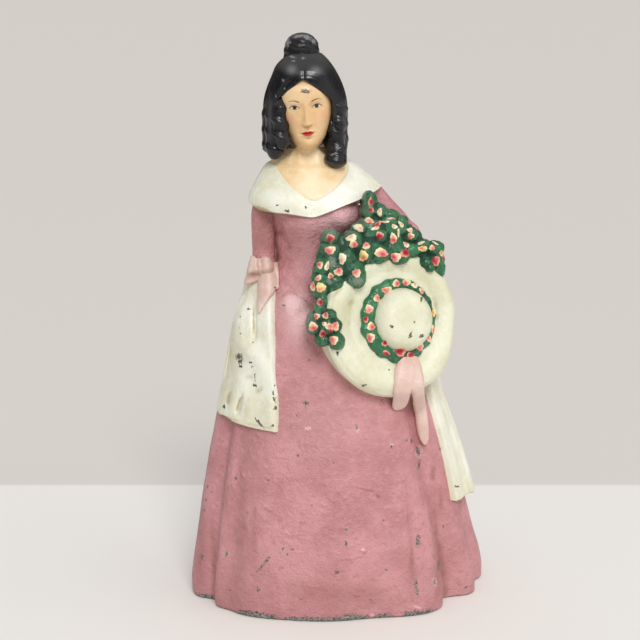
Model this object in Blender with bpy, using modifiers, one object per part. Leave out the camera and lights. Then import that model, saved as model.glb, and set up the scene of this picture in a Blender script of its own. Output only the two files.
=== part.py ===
# A hollow figural doorstop in cast iron: a lady in a full skirt, with a hat and flowers on her arm.
# Two shells, a front half and a rear half, meet on a flat parting plane. Two machine screws go in from
# behind, through the rear shell's posts, into tapped posts in the front shell. Register pins line them up.
# Metres, +Z up. The front faces -Y, and the origin is on the floor, under the middle of the figure.
import math

import bpy
import bmesh
from mathutils import Matrix, Vector, kdtree

MM = 0.001

# Driving dimensions
FIGURE_HEIGHT = 285.7 * MM  # floor to the top of the hair knot
HEM_HALF_WIDTH = 76.2 * MM
HEM_FRONT_DEPTH = 55.0 * MM  # from the parting plane forward
HEM_REAR_DEPTH = 41.0 * MM  # from the parting plane back
PARTING_Y = 7.0 * MM
PARTING_GAP = 0.3 * MM
WALL = 4.2 * MM
BELOW_FLOOR = 4.0 * MM  # the pattern runs on below the floor plane, and is cut off flat there

# Head and hair
KNOT_RISE = 36.2 * MM  # top of the knot over the middle of the head
HEAD_X = -17.5 * MM
HEAD_HEIGHT = FIGURE_HEIGHT - KNOT_RISE
FACE_HALF_WIDTH = 13.4 * MM
FACE_HALF_HEIGHT = 19.0 * MM
FACE_HALF_DEPTH = 16.5 * MM
HEAD_TURN = math.radians(-10.0)  # towards her right
HAIR_HALF_WIDTH = 20.8 * MM
HAIR_FRONT_DEPTH = 18.5 * MM
HAIR_REAR_DEPTH = 19.0 * MM
HAIR_SET_BACK = 4.0 * MM
HAIR_RISE = 26.0 * MM  # over the middle of the head
HAIR_DROP = 20.0 * MM  # under it, where the ringlets take over
HAIRLINE_RISE = 14.5 * MM
KNOT_RADIUS = 9.7 * MM
KNOT_HALF_HEIGHT = 7.5 * MM
RINGLET_RADIUS = 3.7 * MM
RINGLET_TWIST = 7.5 * MM  # height of one turn

# Neck, shoulders and bodice
NECK_X = HEAD_X + 0.5 * MM
NECK_RADIUS = 9.6 * MM
NECK_LENGTH = 22.5 * MM  # from the middle of the head
NECK_BASE_HEIGHT = HEAD_HEIGHT - NECK_LENGTH
SHOULDER_DROP = 22.0 * MM
SHOULDER_HEIGHT = NECK_BASE_HEIGHT - SHOULDER_DROP
SHOULDER_CENTRE_X = HEAD_X + 6.5 * MM
SHOULDER_HALF_WIDTH = 32.6 * MM
SHOULDER_FRONT_DEPTH = 25.0 * MM
SHOULDER_REAR_DEPTH = 19.0 * MM
COLLAR_THICKNESS = 2.6 * MM
COLLAR_DEPTH = 7.0 * MM  # lower edge under the shoulders
COLLAR_LIFT = 11.0 * MM  # how far her raised left arm lifts that edge
NECKLINE_POINT_HEIGHT = SHOULDER_HEIGHT + 0.5 * MM
NECKLINE_SIDE_HEIGHT = SHOULDER_HEIGHT + 17.0 * MM
NECKLINE_TURN = 101.0  # degrees round the shoulders, where 90 is the front
BUST_DROP = 7.0 * MM
BUST_HEIGHT = SHOULDER_HEIGHT - BUST_DROP
BUST_HALF_WIDTH = 23.0 * MM
BUST_FRONT_DEPTH = 26.5 * MM
BODICE_LENGTH = 31.0 * MM
WAIST_HEIGHT = SHOULDER_HEIGHT - BODICE_LENGTH
WAIST_CENTRE_X = SHOULDER_CENTRE_X - 3.5 * MM
WAIST_HALF_WIDTH = 17.5 * MM
WAIST_FRONT_DEPTH = 19.5 * MM
WAIST_REAR_DEPTH = 17.0 * MM

# Arms, bow and stole
SLEEVE_RADIUS = 6.0 * MM
ARM_WEB_HALF_THICKNESS = 4.5 * MM
ELBOW_DROP = 33.0 * MM
ELBOW_HEIGHT = SHOULDER_HEIGHT - ELBOW_DROP
RIGHT_ELBOW_X = SHOULDER_CENTRE_X - 30.5 * MM
LEFT_ELBOW_X = SHOULDER_CENTRE_X + 48.0 * MM
RIGHT_STOLE_DROP = 80.0 * MM  # from the waist
LEFT_STOLE_DROP = 122.0 * MM
STOLE_BAND_THICKNESS = 5.0 * MM
STOLE_RIPPLE = 0.9 * MM
STOLE_RIPPLES = 3

# Hat, wreath, flowers and ribbon
HAT_X = 19.5 * MM
HAT_DROP = 26.5 * MM  # from the waist
HAT_HEIGHT = WAIST_HEIGHT - HAT_DROP
HAT_TILT_UP = math.radians(13.0)
HAT_TURN = math.radians(15.0)  # towards her left
HAT_STAND_OFF = 3.5 * MM
BRIM_RADIUS = 36.5 * MM
BRIM_THICKNESS = 4.0 * MM
BRIM_ROLL = 2.6 * MM
BRIM_ROOT = 22.5 * MM  # how deep the metal behind the brim is sunk in the dress
CROWN_SHIFT = 3.5 * MM  # the crown's middle is off the brim's, towards her left
CROWN_RADIUS = 15.8 * MM
CROWN_RISE = 15.0 * MM
WREATH_RADIUS = 17.2 * MM
WREATH_THICKNESS = 2.9 * MM
WREATH_LUMPS = 17
RIBBON_THICKNESS = 3.0 * MM
FLOWER_HALF_DEPTH = 7.5 * MM

# Screws and their posts
SCREW_RADIUS = 2.4 * MM
SCREW_HEAD_RADIUS = 4.4 * MM
SCREW_HEAD_RISE = 2.6 * MM
SCREW_SLOT_WIDTH = 1.1 * MM
SCREW_SLOT_DEPTH = 1.3 * MM
SCREW_PITCH = 1.06 * MM
THREAD_DEPTH = 0.5 * MM
THREAD_ENGAGEMENT = 9.0 * MM
SCREW_CLEARANCE = 0.3 * MM
HEAD_RECESS_DEPTH = 3.2 * MM
POST_RADIUS = 6.4 * MM
CHEST_SCREW_HEIGHT = WAIST_HEIGHT + 14.0 * MM
SKIRT_SCREW_HEIGHT = 84.0 * MM
SKIRT_SCREW_X = -4.0 * MM

# Register pins on the parting plane
PIN_HEIGHT = 24.0 * MM
PIN_RADIUS = 2.2 * MM
PIN_LENGTH = 3.0 * MM
PIN_PAD_RADIUS = 5.0 * MM
PIN_CLEARANCE = 0.3 * MM

# Mesh fineness
PATTERN_VOXEL = 1.1 * MM
PATTERN_SHARE_KEPT = 0.031  # of the remeshed pattern's triangles
RING_POINTS = 120
RING_STEP = 4.0 * MM
CORE_SIDE_COUNT = 44
CORE_STEP_COUNT = 22

PAINTS = {
    "pink_enamel": ((0.60, 0.24, 0.26), 0.5),
    "cream_enamel": ((0.80, 0.79, 0.65), 0.45),
    "pale_pink_enamel": ((0.75, 0.48, 0.46), 0.45),
    "black_enamel": ((0.012, 0.012, 0.015), 0.35),
    "flesh_enamel": ((0.72, 0.48, 0.29), 0.45),
    "green_enamel": ((0.02, 0.13, 0.055), 0.4),
    "bare_iron": ((0.06, 0.065, 0.06), 0.7),
}


# Scene and small helpers


def start_scene(name):
    for old in list(bpy.data.objects):
        bpy.data.objects.remove(old)
    collections = []
    for title in (name, name + "_cutters"):
        collection = bpy.data.collections.new(title)
        bpy.context.scene.collection.children.link(collection)
        collections.append(collection)
    return collections


def enamel(name):
    colour, roughness = PAINTS[name]
    material = bpy.data.materials.get(name) or bpy.data.materials.new(name)
    material.use_nodes = True
    shader = material.node_tree.nodes["Principled BSDF"]
    shader.inputs["Base Color"].default_value = (*colour, 1.0)
    shader.inputs["Roughness"].default_value = roughness
    shader.inputs["Metallic"].default_value = 1.0 if name == "bare_iron" else 0.0
    material.diffuse_color = (*colour, 1.0)
    return material


def hide(obj):
    obj.hide_render = True
    obj.display_type = "WIRE"


def new_object(name, mesh, collection):
    obj = bpy.data.objects.new(name, mesh)
    collection.objects.link(obj)
    return obj


def baked(obj):
    """The object's evaluated mesh, placed in world space."""
    bpy.context.view_layer.update()
    graph = bpy.context.evaluated_depsgraph_get()
    mesh = bpy.data.meshes.new_from_object(obj.evaluated_get(graph))
    mesh.transform(obj.matrix_world)
    return mesh


def blend_stations(stations, height):
    """A smooth curve through rows that start with a height: the other values of the row at that height."""
    if height <= stations[0][0]:
        return stations[0][1:]
    if height >= stations[-1][0]:
        return stations[-1][1:]
    i = max(k for k, row in enumerate(stations) if row[0] <= height)
    i = min(i, len(stations) - 2)
    before, low = stations[max(i - 1, 0)], stations[i]
    high, after = stations[i + 1], stations[min(i + 2, len(stations) - 1)]
    span = high[0] - low[0]
    t = (height - low[0]) / span
    values = []
    for k in range(1, len(low)):
        slope_low = (high[k] - before[k]) / (high[0] - before[0]) * span
        slope_high = (after[k] - low[k]) / (after[0] - low[0]) * span
        values.append(
            (2 * t**3 - 3 * t**2 + 1) * low[k]
            + (t**3 - 2 * t**2 + t) * slope_low
            + (3 * t**2 - 2 * t**3) * high[k]
            + (t**3 - t**2) * slope_high
        )
    return tuple(values)


def loft(name, rings, collection):
    """A closed solid through rings with the same number of points, listed from the bottom up."""
    mesh = bmesh.new()
    rows = [[mesh.verts.new(point) for point in ring] for ring in rings]
    for low, high in zip(rows, rows[1:]):
        for i in range(len(low)):
            j = (i + 1) % len(low)
            mesh.faces.new((low[i], low[j], high[j], high[i]))
    mesh.faces.new(list(reversed(rows[0])))
    mesh.faces.new(rows[-1])
    bmesh.ops.recalc_face_normals(mesh, faces=mesh.faces)
    data = bpy.data.meshes.new(name)
    mesh.to_mesh(data)
    mesh.free()
    return new_object(name, data, collection)


def sheet(name, point_at, across, down, thickness, collection, wrap=False):
    """A bent sheet of metal: a grid of points u, v in 0 to 1, given thickness with Solidify."""
    mesh = bmesh.new()
    columns = across if wrap else across + 1
    rows = [
        [mesh.verts.new(point_at(i / across, k / down)) for i in range(columns)]
        for k in range(down + 1)
    ]
    for low, high in zip(rows, rows[1:]):
        for i in range(across):
            j = (i + 1) % columns
            mesh.faces.new((low[i], low[j], high[j], high[i]))
    data = bpy.data.meshes.new(name)
    mesh.to_mesh(data)
    mesh.free()
    obj = new_object(name, data, collection)
    solidify = obj.modifiers.new("thickness", "SOLIDIFY")
    solidify.thickness = thickness
    solidify.offset = 0
    return obj


def ball(name, centre, radii, collection, turn=(0, 0, 0)):
    bpy.ops.mesh.primitive_uv_sphere_add(segments=32, ring_count=20, location=centre, rotation=turn)
    obj = bpy.context.object
    obj.name = name
    obj.scale = radii
    for old in obj.users_collection:
        old.objects.unlink(obj)
    collection.objects.link(obj)
    return obj


def tube(name, points, radii, collection):
    """A round bar along points, with a radius at each."""
    curve = bpy.data.curves.new(name, "CURVE")
    curve.dimensions = "3D"
    curve.bevel_depth = 1.0
    curve.bevel_resolution = 4
    curve.use_fill_caps = True
    spline = curve.splines.new("POLY")
    spline.points.add(len(points) - 1)
    for point, place, radius in zip(spline.points, points, radii):
        point.co = (*place, 1)
        point.radius = radius
    return new_object(name, curve, collection)


def cylinder(name, radius, start, end, collection, sides=32):
    """A round bar along Y, from start to end, which share x and z."""
    middle = (Vector(start) + Vector(end)) / 2
    length = (Vector(end) - Vector(start)).length
    bpy.ops.mesh.primitive_cylinder_add(
        vertices=sides, radius=radius, depth=length, location=middle, rotation=(math.pi / 2, 0, 0)
    )
    obj = bpy.context.object
    obj.name = name
    for old in obj.users_collection:
        old.objects.unlink(obj)
    collection.objects.link(obj)
    return obj


def boolean(obj, cutter, operation):
    modifier = obj.modifiers.new(cutter.name, "BOOLEAN")
    modifier.object = cutter
    modifier.operation = operation
    hide(cutter)
    return modifier


# The dress: one section for each height, from the hem to the bust

SKIRT_SPAN = WAIST_HEIGHT


def skirt_share(z):
    """0 at the waist and 1 at the hem, along the bell of the skirt."""
    stations = (
        (0.0, 1.0),
        (0.06 * SKIRT_SPAN, 1.0),
        (0.19 * SKIRT_SPAN, 0.925),
        (0.35 * SKIRT_SPAN, 0.830),
        (0.54 * SKIRT_SPAN, 0.685),
        (0.70 * SKIRT_SPAN, 0.540),
        (0.82 * SKIRT_SPAN, 0.370),
        (0.91 * SKIRT_SPAN, 0.170),
        (SKIRT_SPAN, 0.0),
    )
    return blend_stations(stations, z)[0]


BODICE = (
    (WAIST_HEIGHT, WAIST_CENTRE_X, WAIST_HALF_WIDTH, WAIST_FRONT_DEPTH, WAIST_REAR_DEPTH),
    (WAIST_HEIGHT + 11 * MM, WAIST_CENTRE_X, WAIST_HALF_WIDTH + 2 * MM, WAIST_FRONT_DEPTH + 2.5 * MM, WAIST_REAR_DEPTH + 1 * MM),
    (BUST_HEIGHT, WAIST_CENTRE_X + 1 * MM, BUST_HALF_WIDTH, BUST_FRONT_DEPTH, WAIST_REAR_DEPTH + 2 * MM),
    (BUST_HEIGHT + 9 * MM, SHOULDER_CENTRE_X - 1 * MM, BUST_HALF_WIDTH + 1 * MM, BUST_FRONT_DEPTH - 2 * MM, WAIST_REAR_DEPTH + 2 * MM),
)
SHOULDERS = (
    (SHOULDER_HEIGHT - 9 * MM, SHOULDER_CENTRE_X, SHOULDER_HALF_WIDTH - 1.5 * MM, SHOULDER_FRONT_DEPTH - 1 * MM, SHOULDER_REAR_DEPTH - 1 * MM),
    (SHOULDER_HEIGHT, SHOULDER_CENTRE_X, SHOULDER_HALF_WIDTH, SHOULDER_FRONT_DEPTH, SHOULDER_REAR_DEPTH),
    (SHOULDER_HEIGHT + 7 * MM, SHOULDER_CENTRE_X - 1 * MM, 0.87 * SHOULDER_HALF_WIDTH, 0.86 * SHOULDER_FRONT_DEPTH, 0.93 * SHOULDER_REAR_DEPTH),
    (SHOULDER_HEIGHT + 14 * MM, SHOULDER_CENTRE_X - 3 * MM, 0.66 * SHOULDER_HALF_WIDTH, 0.68 * SHOULDER_FRONT_DEPTH, 0.80 * SHOULDER_REAR_DEPTH),
    (NECK_BASE_HEIGHT - 3 * MM, NECK_X + 1 * MM, NECK_RADIUS + 3 * MM, NECK_RADIUS + 4 * MM, NECK_RADIUS + 3 * MM),
    (NECK_BASE_HEIGHT + 2 * MM, NECK_X, NECK_RADIUS, NECK_RADIUS + 1.5 * MM, NECK_RADIUS + 1 * MM),
    (HEAD_HEIGHT, NECK_X, NECK_RADIUS, NECK_RADIUS, NECK_RADIUS),
)


def dress_section(z):
    """Centre, half width, front depth and rear depth of the dress at a height, without its folds."""
    if z >= WAIST_HEIGHT:
        return blend_stations(BODICE, z)
    share = skirt_share(z)
    return (
        WAIST_CENTRE_X * (1 - share),
        WAIST_HALF_WIDTH + (HEM_HALF_WIDTH - WAIST_HALF_WIDTH) * share,
        WAIST_FRONT_DEPTH + (HEM_FRONT_DEPTH - WAIST_FRONT_DEPTH) * share,
        WAIST_REAR_DEPTH + (HEM_REAR_DEPTH - WAIST_REAR_DEPTH) * share,
    )


def dress_front(x, z):
    """y of the dress's front at x and z."""
    centre, half_width, front, _ = dress_section(z)
    share = min(abs(x - centre) / half_width, 1.0)
    return PARTING_Y - front * math.sqrt(1 - share**2)


# Folds as angle round the hem, depth and half width; 0 is the viewer's right, 90 the front, 270 the back
FOLDS = (
    (24.0, 4.6 * MM, 7.0),
    (52.0, 6.2 * MM, 7.5),
    (84.0, 1.0 * MM, 9.0),
    (118.0, 1.0 * MM, 9.0),
    (147.0, 2.0 * MM, 6.5),
    (167.0, 6.2 * MM, 6.5),
    (204.0, 4.0 * MM, 8.0),
    (232.0, 4.5 * MM, 8.0),
    (258.0, 4.0 * MM, 7.5),
    (284.0, 4.0 * MM, 7.5),
    (310.0, 4.5 * MM, 8.0),
    (337.0, 4.0 * MM, 8.0),
)
FOLDS_END_HEIGHT = 0.93 * WAIST_HEIGHT


def fold_depth(angle, z):
    fade = min(max(1 - z / FOLDS_END_HEIGHT, 0.0), 1.0)
    depth = 0.0
    for at, deep, half_width in FOLDS:
        away = (math.degrees(angle) - at + 180) % 360 - 180
        depth += deep * math.exp(-((away / half_width) ** 2))
    return depth * fade**0.6


def oval(z, section, angle, inset=0.0):
    centre, half_width, front, rear = section
    depth = front if math.sin(angle) > 0 else rear
    return Vector(
        (
            centre + (half_width - inset) * math.cos(angle),
            PARTING_Y - (depth - inset) * math.sin(angle),
            z,
        )
    )


def turn_steps(count=RING_POINTS):
    return [2 * math.pi * i / count for i in range(count)]


def make_dress(collection):
    rings = []
    top = BUST_HEIGHT + 8 * MM
    steps = round((top + BELOW_FLOOR) / RING_STEP)
    for i in range(steps + 1):
        z = -BELOW_FLOOR + (top + BELOW_FLOOR) * i / steps
        section = dress_section(max(z, 0.0))
        rings.append([oval(z, section, a, fold_depth(a, max(z, 0.0))) for a in turn_steps()])
    return loft("dress", rings, collection)


def make_shoulders(collection):
    rings = []
    for i in range(24):
        z = SHOULDERS[0][0] + (HEAD_HEIGHT - SHOULDERS[0][0]) * i / 23
        rings.append([oval(z, blend_stations(SHOULDERS, z), a) for a in turn_steps(64)])
    return loft("shoulders", rings, collection)


def collar_edge(x):
    """Height of the collar's lower edge: level on her right, and raised over her lifted left arm."""
    lifted = min(max((x - NECK_X) / (SHOULDER_HALF_WIDTH + 6 * MM), 0.0), 1.0)
    return SHOULDER_HEIGHT - COLLAR_DEPTH + COLLAR_LIFT * lifted


def make_collar(collection):
    def point_at(u, v):
        angle = 2 * math.pi * u
        from_point = abs((math.degrees(angle) - NECKLINE_TURN + 180) % 360 - 180)
        rise = min(from_point / 62.0, 1.0)
        top = NECKLINE_POINT_HEIGHT + (NECKLINE_SIDE_HEIGHT - NECKLINE_POINT_HEIGHT) * rise
        side = oval(0, blend_stations(SHOULDERS, SHOULDER_HEIGHT), angle)
        low = collar_edge(side.x)
        z = top + (low - top) * v
        return oval(z, blend_stations(SHOULDERS, z), angle, -COLLAR_THICKNESS / 2)

    return sheet("collar", point_at, 96, 10, COLLAR_THICKNESS, collection, wrap=True)


# Head, hair and ringlets


def head_point(right, forward, up):
    """A point in the head's own directions, turned with the head."""
    turned = Matrix.Rotation(HEAD_TURN, 4, "Z") @ Vector((right, -forward, 0))
    return Vector((HEAD_X + turned.x, turned.y, HEAD_HEIGHT + up))


def make_head(collection):
    turn = (0, 0, HEAD_TURN)
    width, depth, height = FACE_HALF_WIDTH, FACE_HALF_DEPTH, FACE_HALF_HEIGHT
    return [
        ball("face", head_point(0, 0, 0), (width, depth, height), collection, turn),
        ball("jaw", head_point(0, 0.32 * depth, -0.55 * height), (0.68 * width, 0.62 * depth, 0.44 * height), collection, turn),
        ball("nose", head_point(0, 0.97 * depth, -0.16 * height), (0.13 * width, 0.14 * depth, 0.2 * height), collection, turn),
    ]


def make_hair(collection):
    """The smooth hair over the head, with an opening for the face, and the knot on top."""
    rows = (
        # height share, half width share, front depth share, rear depth share
        (-1.00, 0.93, 0.80, 0.88),
        (-0.55, 0.98, 0.86, 0.95),
        (-0.20, 1.00, 0.92, 1.00),
        (0.15, 0.97, 0.98, 1.00),
        (0.42, 0.885, 1.00, 0.95),
        (0.67, 0.74, 0.88, 0.80),
        (0.87, 0.54, 0.68, 0.60),
        (1.00, 0.36, 0.45, 0.42),
    )
    steps = 26
    rings = []
    for i in range(steps + 1):
        share = -1 + 2 * i / steps
        wide, front, rear = blend_stations(rows, share)
        up = share * (HAIR_RISE if share > 0 else HAIR_DROP)
        ring = []
        for a in turn_steps(64):
            depth = front * HAIR_FRONT_DEPTH if math.sin(a) > 0 else rear * HAIR_REAR_DEPTH
            ring.append(head_point(wide * HAIR_HALF_WIDTH * math.cos(a), depth * math.sin(a) - HAIR_SET_BACK, up))
        rings.append(ring)
    hair = loft("hair", rings, collection)
    top = HAIRLINE_RISE
    middle = (top - HAIR_DROP) / 2
    forward = 0.7 * HAIR_FRONT_DEPTH
    opening = (FACE_HALF_WIDTH, HAIR_FRONT_DEPTH, (top + HAIR_DROP) / 2)
    window = ball("face_window", head_point(0, forward, middle), opening, collection, (0, 0, HEAD_TURN))
    boolean(hair, window, "DIFFERENCE")
    below = ball("neck_window", head_point(0, forward, -HAIR_DROP), opening, collection, (0, 0, HEAD_TURN))
    boolean(hair, below, "DIFFERENCE")
    knot = Vector((HEAD_X, PARTING_Y, FIGURE_HEIGHT - KNOT_HALF_HEIGHT))
    foot = knot - Vector((0, 0, 0.75 * KNOT_HALF_HEIGHT))
    radii = (KNOT_RADIUS, KNOT_RADIUS, KNOT_HALF_HEIGHT)
    return [hair, ball("hair_knot", knot, radii, collection), ball("knot_foot", foot, radii, collection)]


def make_ringlet(name, x, y, top, bottom, radius, collection):
    """A twisted curl of hair: a tube that winds a little about its own line, full in the middle."""
    steps = 26
    points, radii = [], []
    for i in range(steps + 1):
        share = i / steps
        z = top + (bottom + radius * 0.6 - top) * share
        turn = 2 * math.pi * (top - z) / RINGLET_TWIST
        swing = 0.22 * radius
        points.append((x + swing * math.cos(turn), y + swing * math.sin(turn), z))
        full = math.sin(math.pi * min(0.25 + 0.62 * share, 1.0))
        radii.append(radius * (0.72 + 0.38 * full - 0.55 * max(share - 0.85, 0) / 0.15))
    return tube(name, points, radii, collection)


def make_ringlets(collection):
    chin = HEAD_HEIGHT - FACE_HALF_HEIGHT
    left, right = HEAD_X - HAIR_HALF_WIDTH, HEAD_X + HAIR_HALF_WIDTH
    top = HEAD_HEIGHT + 4 * MM
    r = RINGLET_RADIUS
    rows = [
        (left + r, 5.0 * MM, chin - 3.5 * MM),
        (left + 1.5 * r, -3.5 * MM, chin - 5.5 * MM),
        (left + 2.0 * r, -7.5 * MM, chin + 0.5 * MM),
        (right - r, 5.0 * MM, chin - 6.0 * MM),
        (right - 1.5 * r, -4.5 * MM, chin - 11.5 * MM),
        (right - 2.1 * r, -7.0 * MM, chin + 1.0 * MM),
    ]
    rear = HAIR_SET_BACK + 0.72 * HAIR_REAR_DEPTH
    for i in range(5):
        across = (i - 2) / 2
        rows.append((HEAD_X + 0.66 * HAIR_HALF_WIDTH * across, rear - 4.0 * MM * across**2, chin - 7.0 * MM))
    return [make_ringlet("ringlet", x, y, top, bottom, r, collection) for x, y, bottom in rows]


# Arms, bow and stole


def make_arms(collection):
    r = SLEEVE_RADIUS
    shoulder_z = SHOULDER_HEIGHT - 3 * MM
    right_shoulder = Vector((SHOULDER_CENTRE_X - SHOULDER_HALF_WIDTH + r + 1 * MM, PARTING_Y - 3 * MM, shoulder_z))
    right_elbow = Vector((RIGHT_ELBOW_X + 2 * MM, PARTING_Y - 6 * MM, ELBOW_HEIGHT - 2 * MM))
    left_shoulder = Vector((SHOULDER_CENTRE_X + SHOULDER_HALF_WIDTH - r - 1 * MM, PARTING_Y - 2 * MM, shoulder_z + 2 * MM))
    left_elbow = Vector((LEFT_ELBOW_X, PARTING_Y - 5 * MM, ELBOW_HEIGHT + 10 * MM))
    left_hand = Vector((HAT_X - 6 * MM, dress_front(HAT_X - 6 * MM, ELBOW_HEIGHT) - 3 * MM, ELBOW_HEIGHT + 4 * MM))
    pieces = []
    for name, points in (("right_sleeve", (right_shoulder, right_elbow)), ("left_sleeve", (left_shoulder, left_elbow, left_hand))):
        line = [a.lerp(b, k / 8) for a, b in zip(points, points[1:]) for k in range(9)]
        pieces.append(tube(name, line, [r * (1.12 - 0.1 * k / len(line)) for k in range(len(line))], collection))
        pieces += [ball(name, p, (r, r, r), collection) for p in points]
    waist_side = WAIST_CENTRE_X + 0.6 * WAIST_HALF_WIDTH
    web_half_width = (LEFT_ELBOW_X - waist_side) / 2
    web_place = (waist_side + web_half_width, PARTING_Y - 2 * MM, ELBOW_HEIGHT + 12 * MM)
    pieces.append(ball("arm_web", web_place, (web_half_width, ARM_WEB_HALF_THICKNESS, 17 * MM), collection, (0, 0.35, 0)))
    return pieces


def skirt_side(angle, z, lift):
    """A point at an angle round the skirt and a height, standing off it by lift."""
    return oval(z, dress_section(z), angle, -lift)


def make_stole_end(name, rows, collection):
    """A hanging end of the stole. Its face stands off the skirt, and its back is sunk in the skirt's wall.
    A row is height, the angles of its rear and front edges, and how far each edge stands off."""
    rings = []
    across = 24
    steps = 22
    for i in range(steps + 1):
        z = rows[0][0] + (rows[-1][0] - rows[0][0]) * i / steps
        rear, front, rear_lift, front_lift = blend_stations(rows, z)
        face, back = [], []
        for k in range(across + 1):
            share = k / across
            angle = math.radians(rear + (front - rear) * share)
            ripple = STOLE_RIPPLE * math.cos(STOLE_RIPPLES * 2 * math.pi * share) * (1 - 0.6 * i / steps)
            face.append(skirt_side(angle, z, (rear_lift + (front_lift - rear_lift) * share) * MM + ripple))
            back.append(skirt_side(angle, z, -WALL / 2))
        rings.append(face + back[::-1])
    return loft(name, rings, collection)


def make_stole(collection):
    """The two cream ends that hang from the elbows, and the band across the back that joins them."""
    hem, top = WAIST_HEIGHT - RIGHT_STOLE_DROP, ELBOW_HEIGHT - 6 * MM
    drop = top - hem
    right_rows = (
        (hem, 197, 124, 2.6, 3.0),
        (hem + 0.34 * drop, 197, 126, 3.4, 3.0),
        (hem + 0.58 * drop, 196, 131, 6.0, 3.0),
        (hem + 0.80 * drop, 195, 139, 9.5, 3.2),
        (top, 194, 150, 12.5, 4.0),
    )
    hem, top = WAIST_HEIGHT - LEFT_STOLE_DROP, ELBOW_HEIGHT + 2 * MM
    drop = top - hem
    left_rows = (
        (hem, 14, 44, 3.2, 3.0),
        (hem + 0.24 * drop, 4, 41, 2.8, 3.0),
        (hem + 0.40 * drop, -6, 38, 3.0, 3.0),
        (hem + 0.55 * drop, -14, 38, 8.0, 5.0),
        (hem + 0.77 * drop, -18, 40, 18.0, 8.0),
        (top, -18, 44, 31.0, 10.0),
    )
    right_end = make_stole_end("right_stole_end", right_rows, collection)
    left_end = make_stole_end("left_stole_end", left_rows, collection)

    def band_at(u, v):
        angle = math.radians(188 + (346 - 188) * u)
        sag = math.sin(math.pi * u)
        z = ELBOW_HEIGHT - 6 * MM - 22 * MM * sag - (10 + 12 * sag) * MM * (v - 0.5)
        return skirt_side(angle, z, 2.5 * MM + 1.0 * MM * math.cos(5 * math.pi * v) + (1 - sag) * 4 * MM)

    band = sheet("stole_band", band_at, 40, 10, STOLE_BAND_THICKNESS, collection)
    return [right_end, left_end, band]


def make_bow(collection):
    """The pale ribbon bow at her right elbow: two loops, a knot and two tails."""
    x, z = RIGHT_ELBOW_X - 1 * MM, ELBOW_HEIGHT
    y = PARTING_Y - 2.2 * SLEEVE_RADIUS
    pieces = [
        ball("bow_loop", (x - 0.5 * MM, y + 4 * MM, z + 1 * MM), (4 * MM, 5 * MM, 4.6 * MM), collection, (0, 0.4, 0)),
        ball("bow_loop", (x + 6.5 * MM, y - 0.5 * MM, z + 1 * MM), (4.4 * MM, 4.5 * MM, 4.6 * MM), collection, (0, -0.5, 0)),
        ball("bow_knot", (x + 3 * MM, y - 0.5 * MM, z - 0.5 * MM), (2.2 * MM, 3 * MM, 4 * MM), collection),
    ]
    long_tail = [(x + 4 * MM, y, z - 5 * MM), (x + 3 * MM, y - 2.5 * MM, z - 12 * MM), (x - 1 * MM, y - 3.5 * MM, z - 21 * MM)]
    short_tail = [(x + 1 * MM, y + 2 * MM, z - 4 * MM), (x - 4 * MM, y + 5 * MM, z - 9 * MM)]
    pieces.append(tube("bow_tail", long_tail, [4.5 * MM, 4.5 * MM, 1.8 * MM], collection))
    pieces.append(tube("bow_tail", short_tail, [3.5 * MM, 2.2 * MM], collection))
    return pieces


# The hat: a round brim with a rolled edge, a domed crown and a wreath, all on one tilted plane


def hat_matrix():
    """Places the hat's own plane: its Z is the way it faces, and its origin is the middle of the brim."""
    y = dress_front(HAT_X - 0.75 * BRIM_RADIUS, HAT_HEIGHT) - HAT_STAND_OFF
    facing = Matrix.Rotation(math.pi / 2, 4, "X")
    tilt = Matrix.Rotation(HAT_TURN, 4, "Z") @ Matrix.Rotation(-HAT_TILT_UP, 4, "X")
    return Matrix.Translation((HAT_X, y, HAT_HEIGHT)) @ tilt @ facing


def brim_height(radius, angle):
    """Height of the brim's face over the hat's plane: a dip round the crown, and a rolled, wavy edge."""
    out = (radius - CROWN_RADIUS) / (BRIM_RADIUS - CROWN_RADIUS)
    roll = BRIM_ROLL * math.sin(math.pi * min(max((out - 0.35) / 0.65, 0), 1)) ** 2
    wave = 1.6 * MM * math.cos(2 * angle + 0.6) * max(out, 0) ** 2
    return roll + wave


def make_hat(collection):
    matrix = hat_matrix()
    rings = []
    sides = 96
    back = HAT_STAND_OFF + BRIM_ROOT

    def ring(radius, height_at):
        return [
            matrix @ Vector((radius * math.cos(a), radius * math.sin(a), height_at(a)))
            for a in turn_steps(sides)
        ]

    rings.append(ring(0.86 * BRIM_RADIUS, lambda a: -back))
    rings.append(ring(0.97 * BRIM_RADIUS, lambda a: -BRIM_THICKNESS - 2 * MM))
    rings.append(ring(BRIM_RADIUS, lambda a: brim_height(BRIM_RADIUS, a) - BRIM_THICKNESS))
    for share in (1.0, 0.96, 0.86, 0.74, 0.6, 0.45, 0.3, 0.1):
        radius = CROWN_RADIUS + (BRIM_RADIUS - CROWN_RADIUS) * share
        rings.append(ring(radius, lambda a, r=radius: brim_height(r, a)))
    brim = loft("brim", rings, collection)
    crown = ball("crown", (0, 0, 0), (1, 1, 1), collection)
    crown.scale = (1, 1, 1)
    crown_place = matrix @ Matrix.Translation((CROWN_SHIFT, 0, 0))
    crown.matrix_world = crown_place @ Matrix.Diagonal((CROWN_RADIUS, CROWN_RADIUS, CROWN_RISE, 1))
    wreath_points = []
    wreath_radii = []
    for a in turn_steps(102) + [0.0]:
        wreath_points.append(crown_place @ Vector((WREATH_RADIUS * math.cos(a), WREATH_RADIUS * math.sin(a), 1.2 * MM)))
        wreath_radii.append(WREATH_THICKNESS * (1 + 0.16 * math.cos(WREATH_LUMPS * a)))
    wreath = tube("wreath", wreath_points, wreath_radii, collection)
    return brim, crown, wreath


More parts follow.
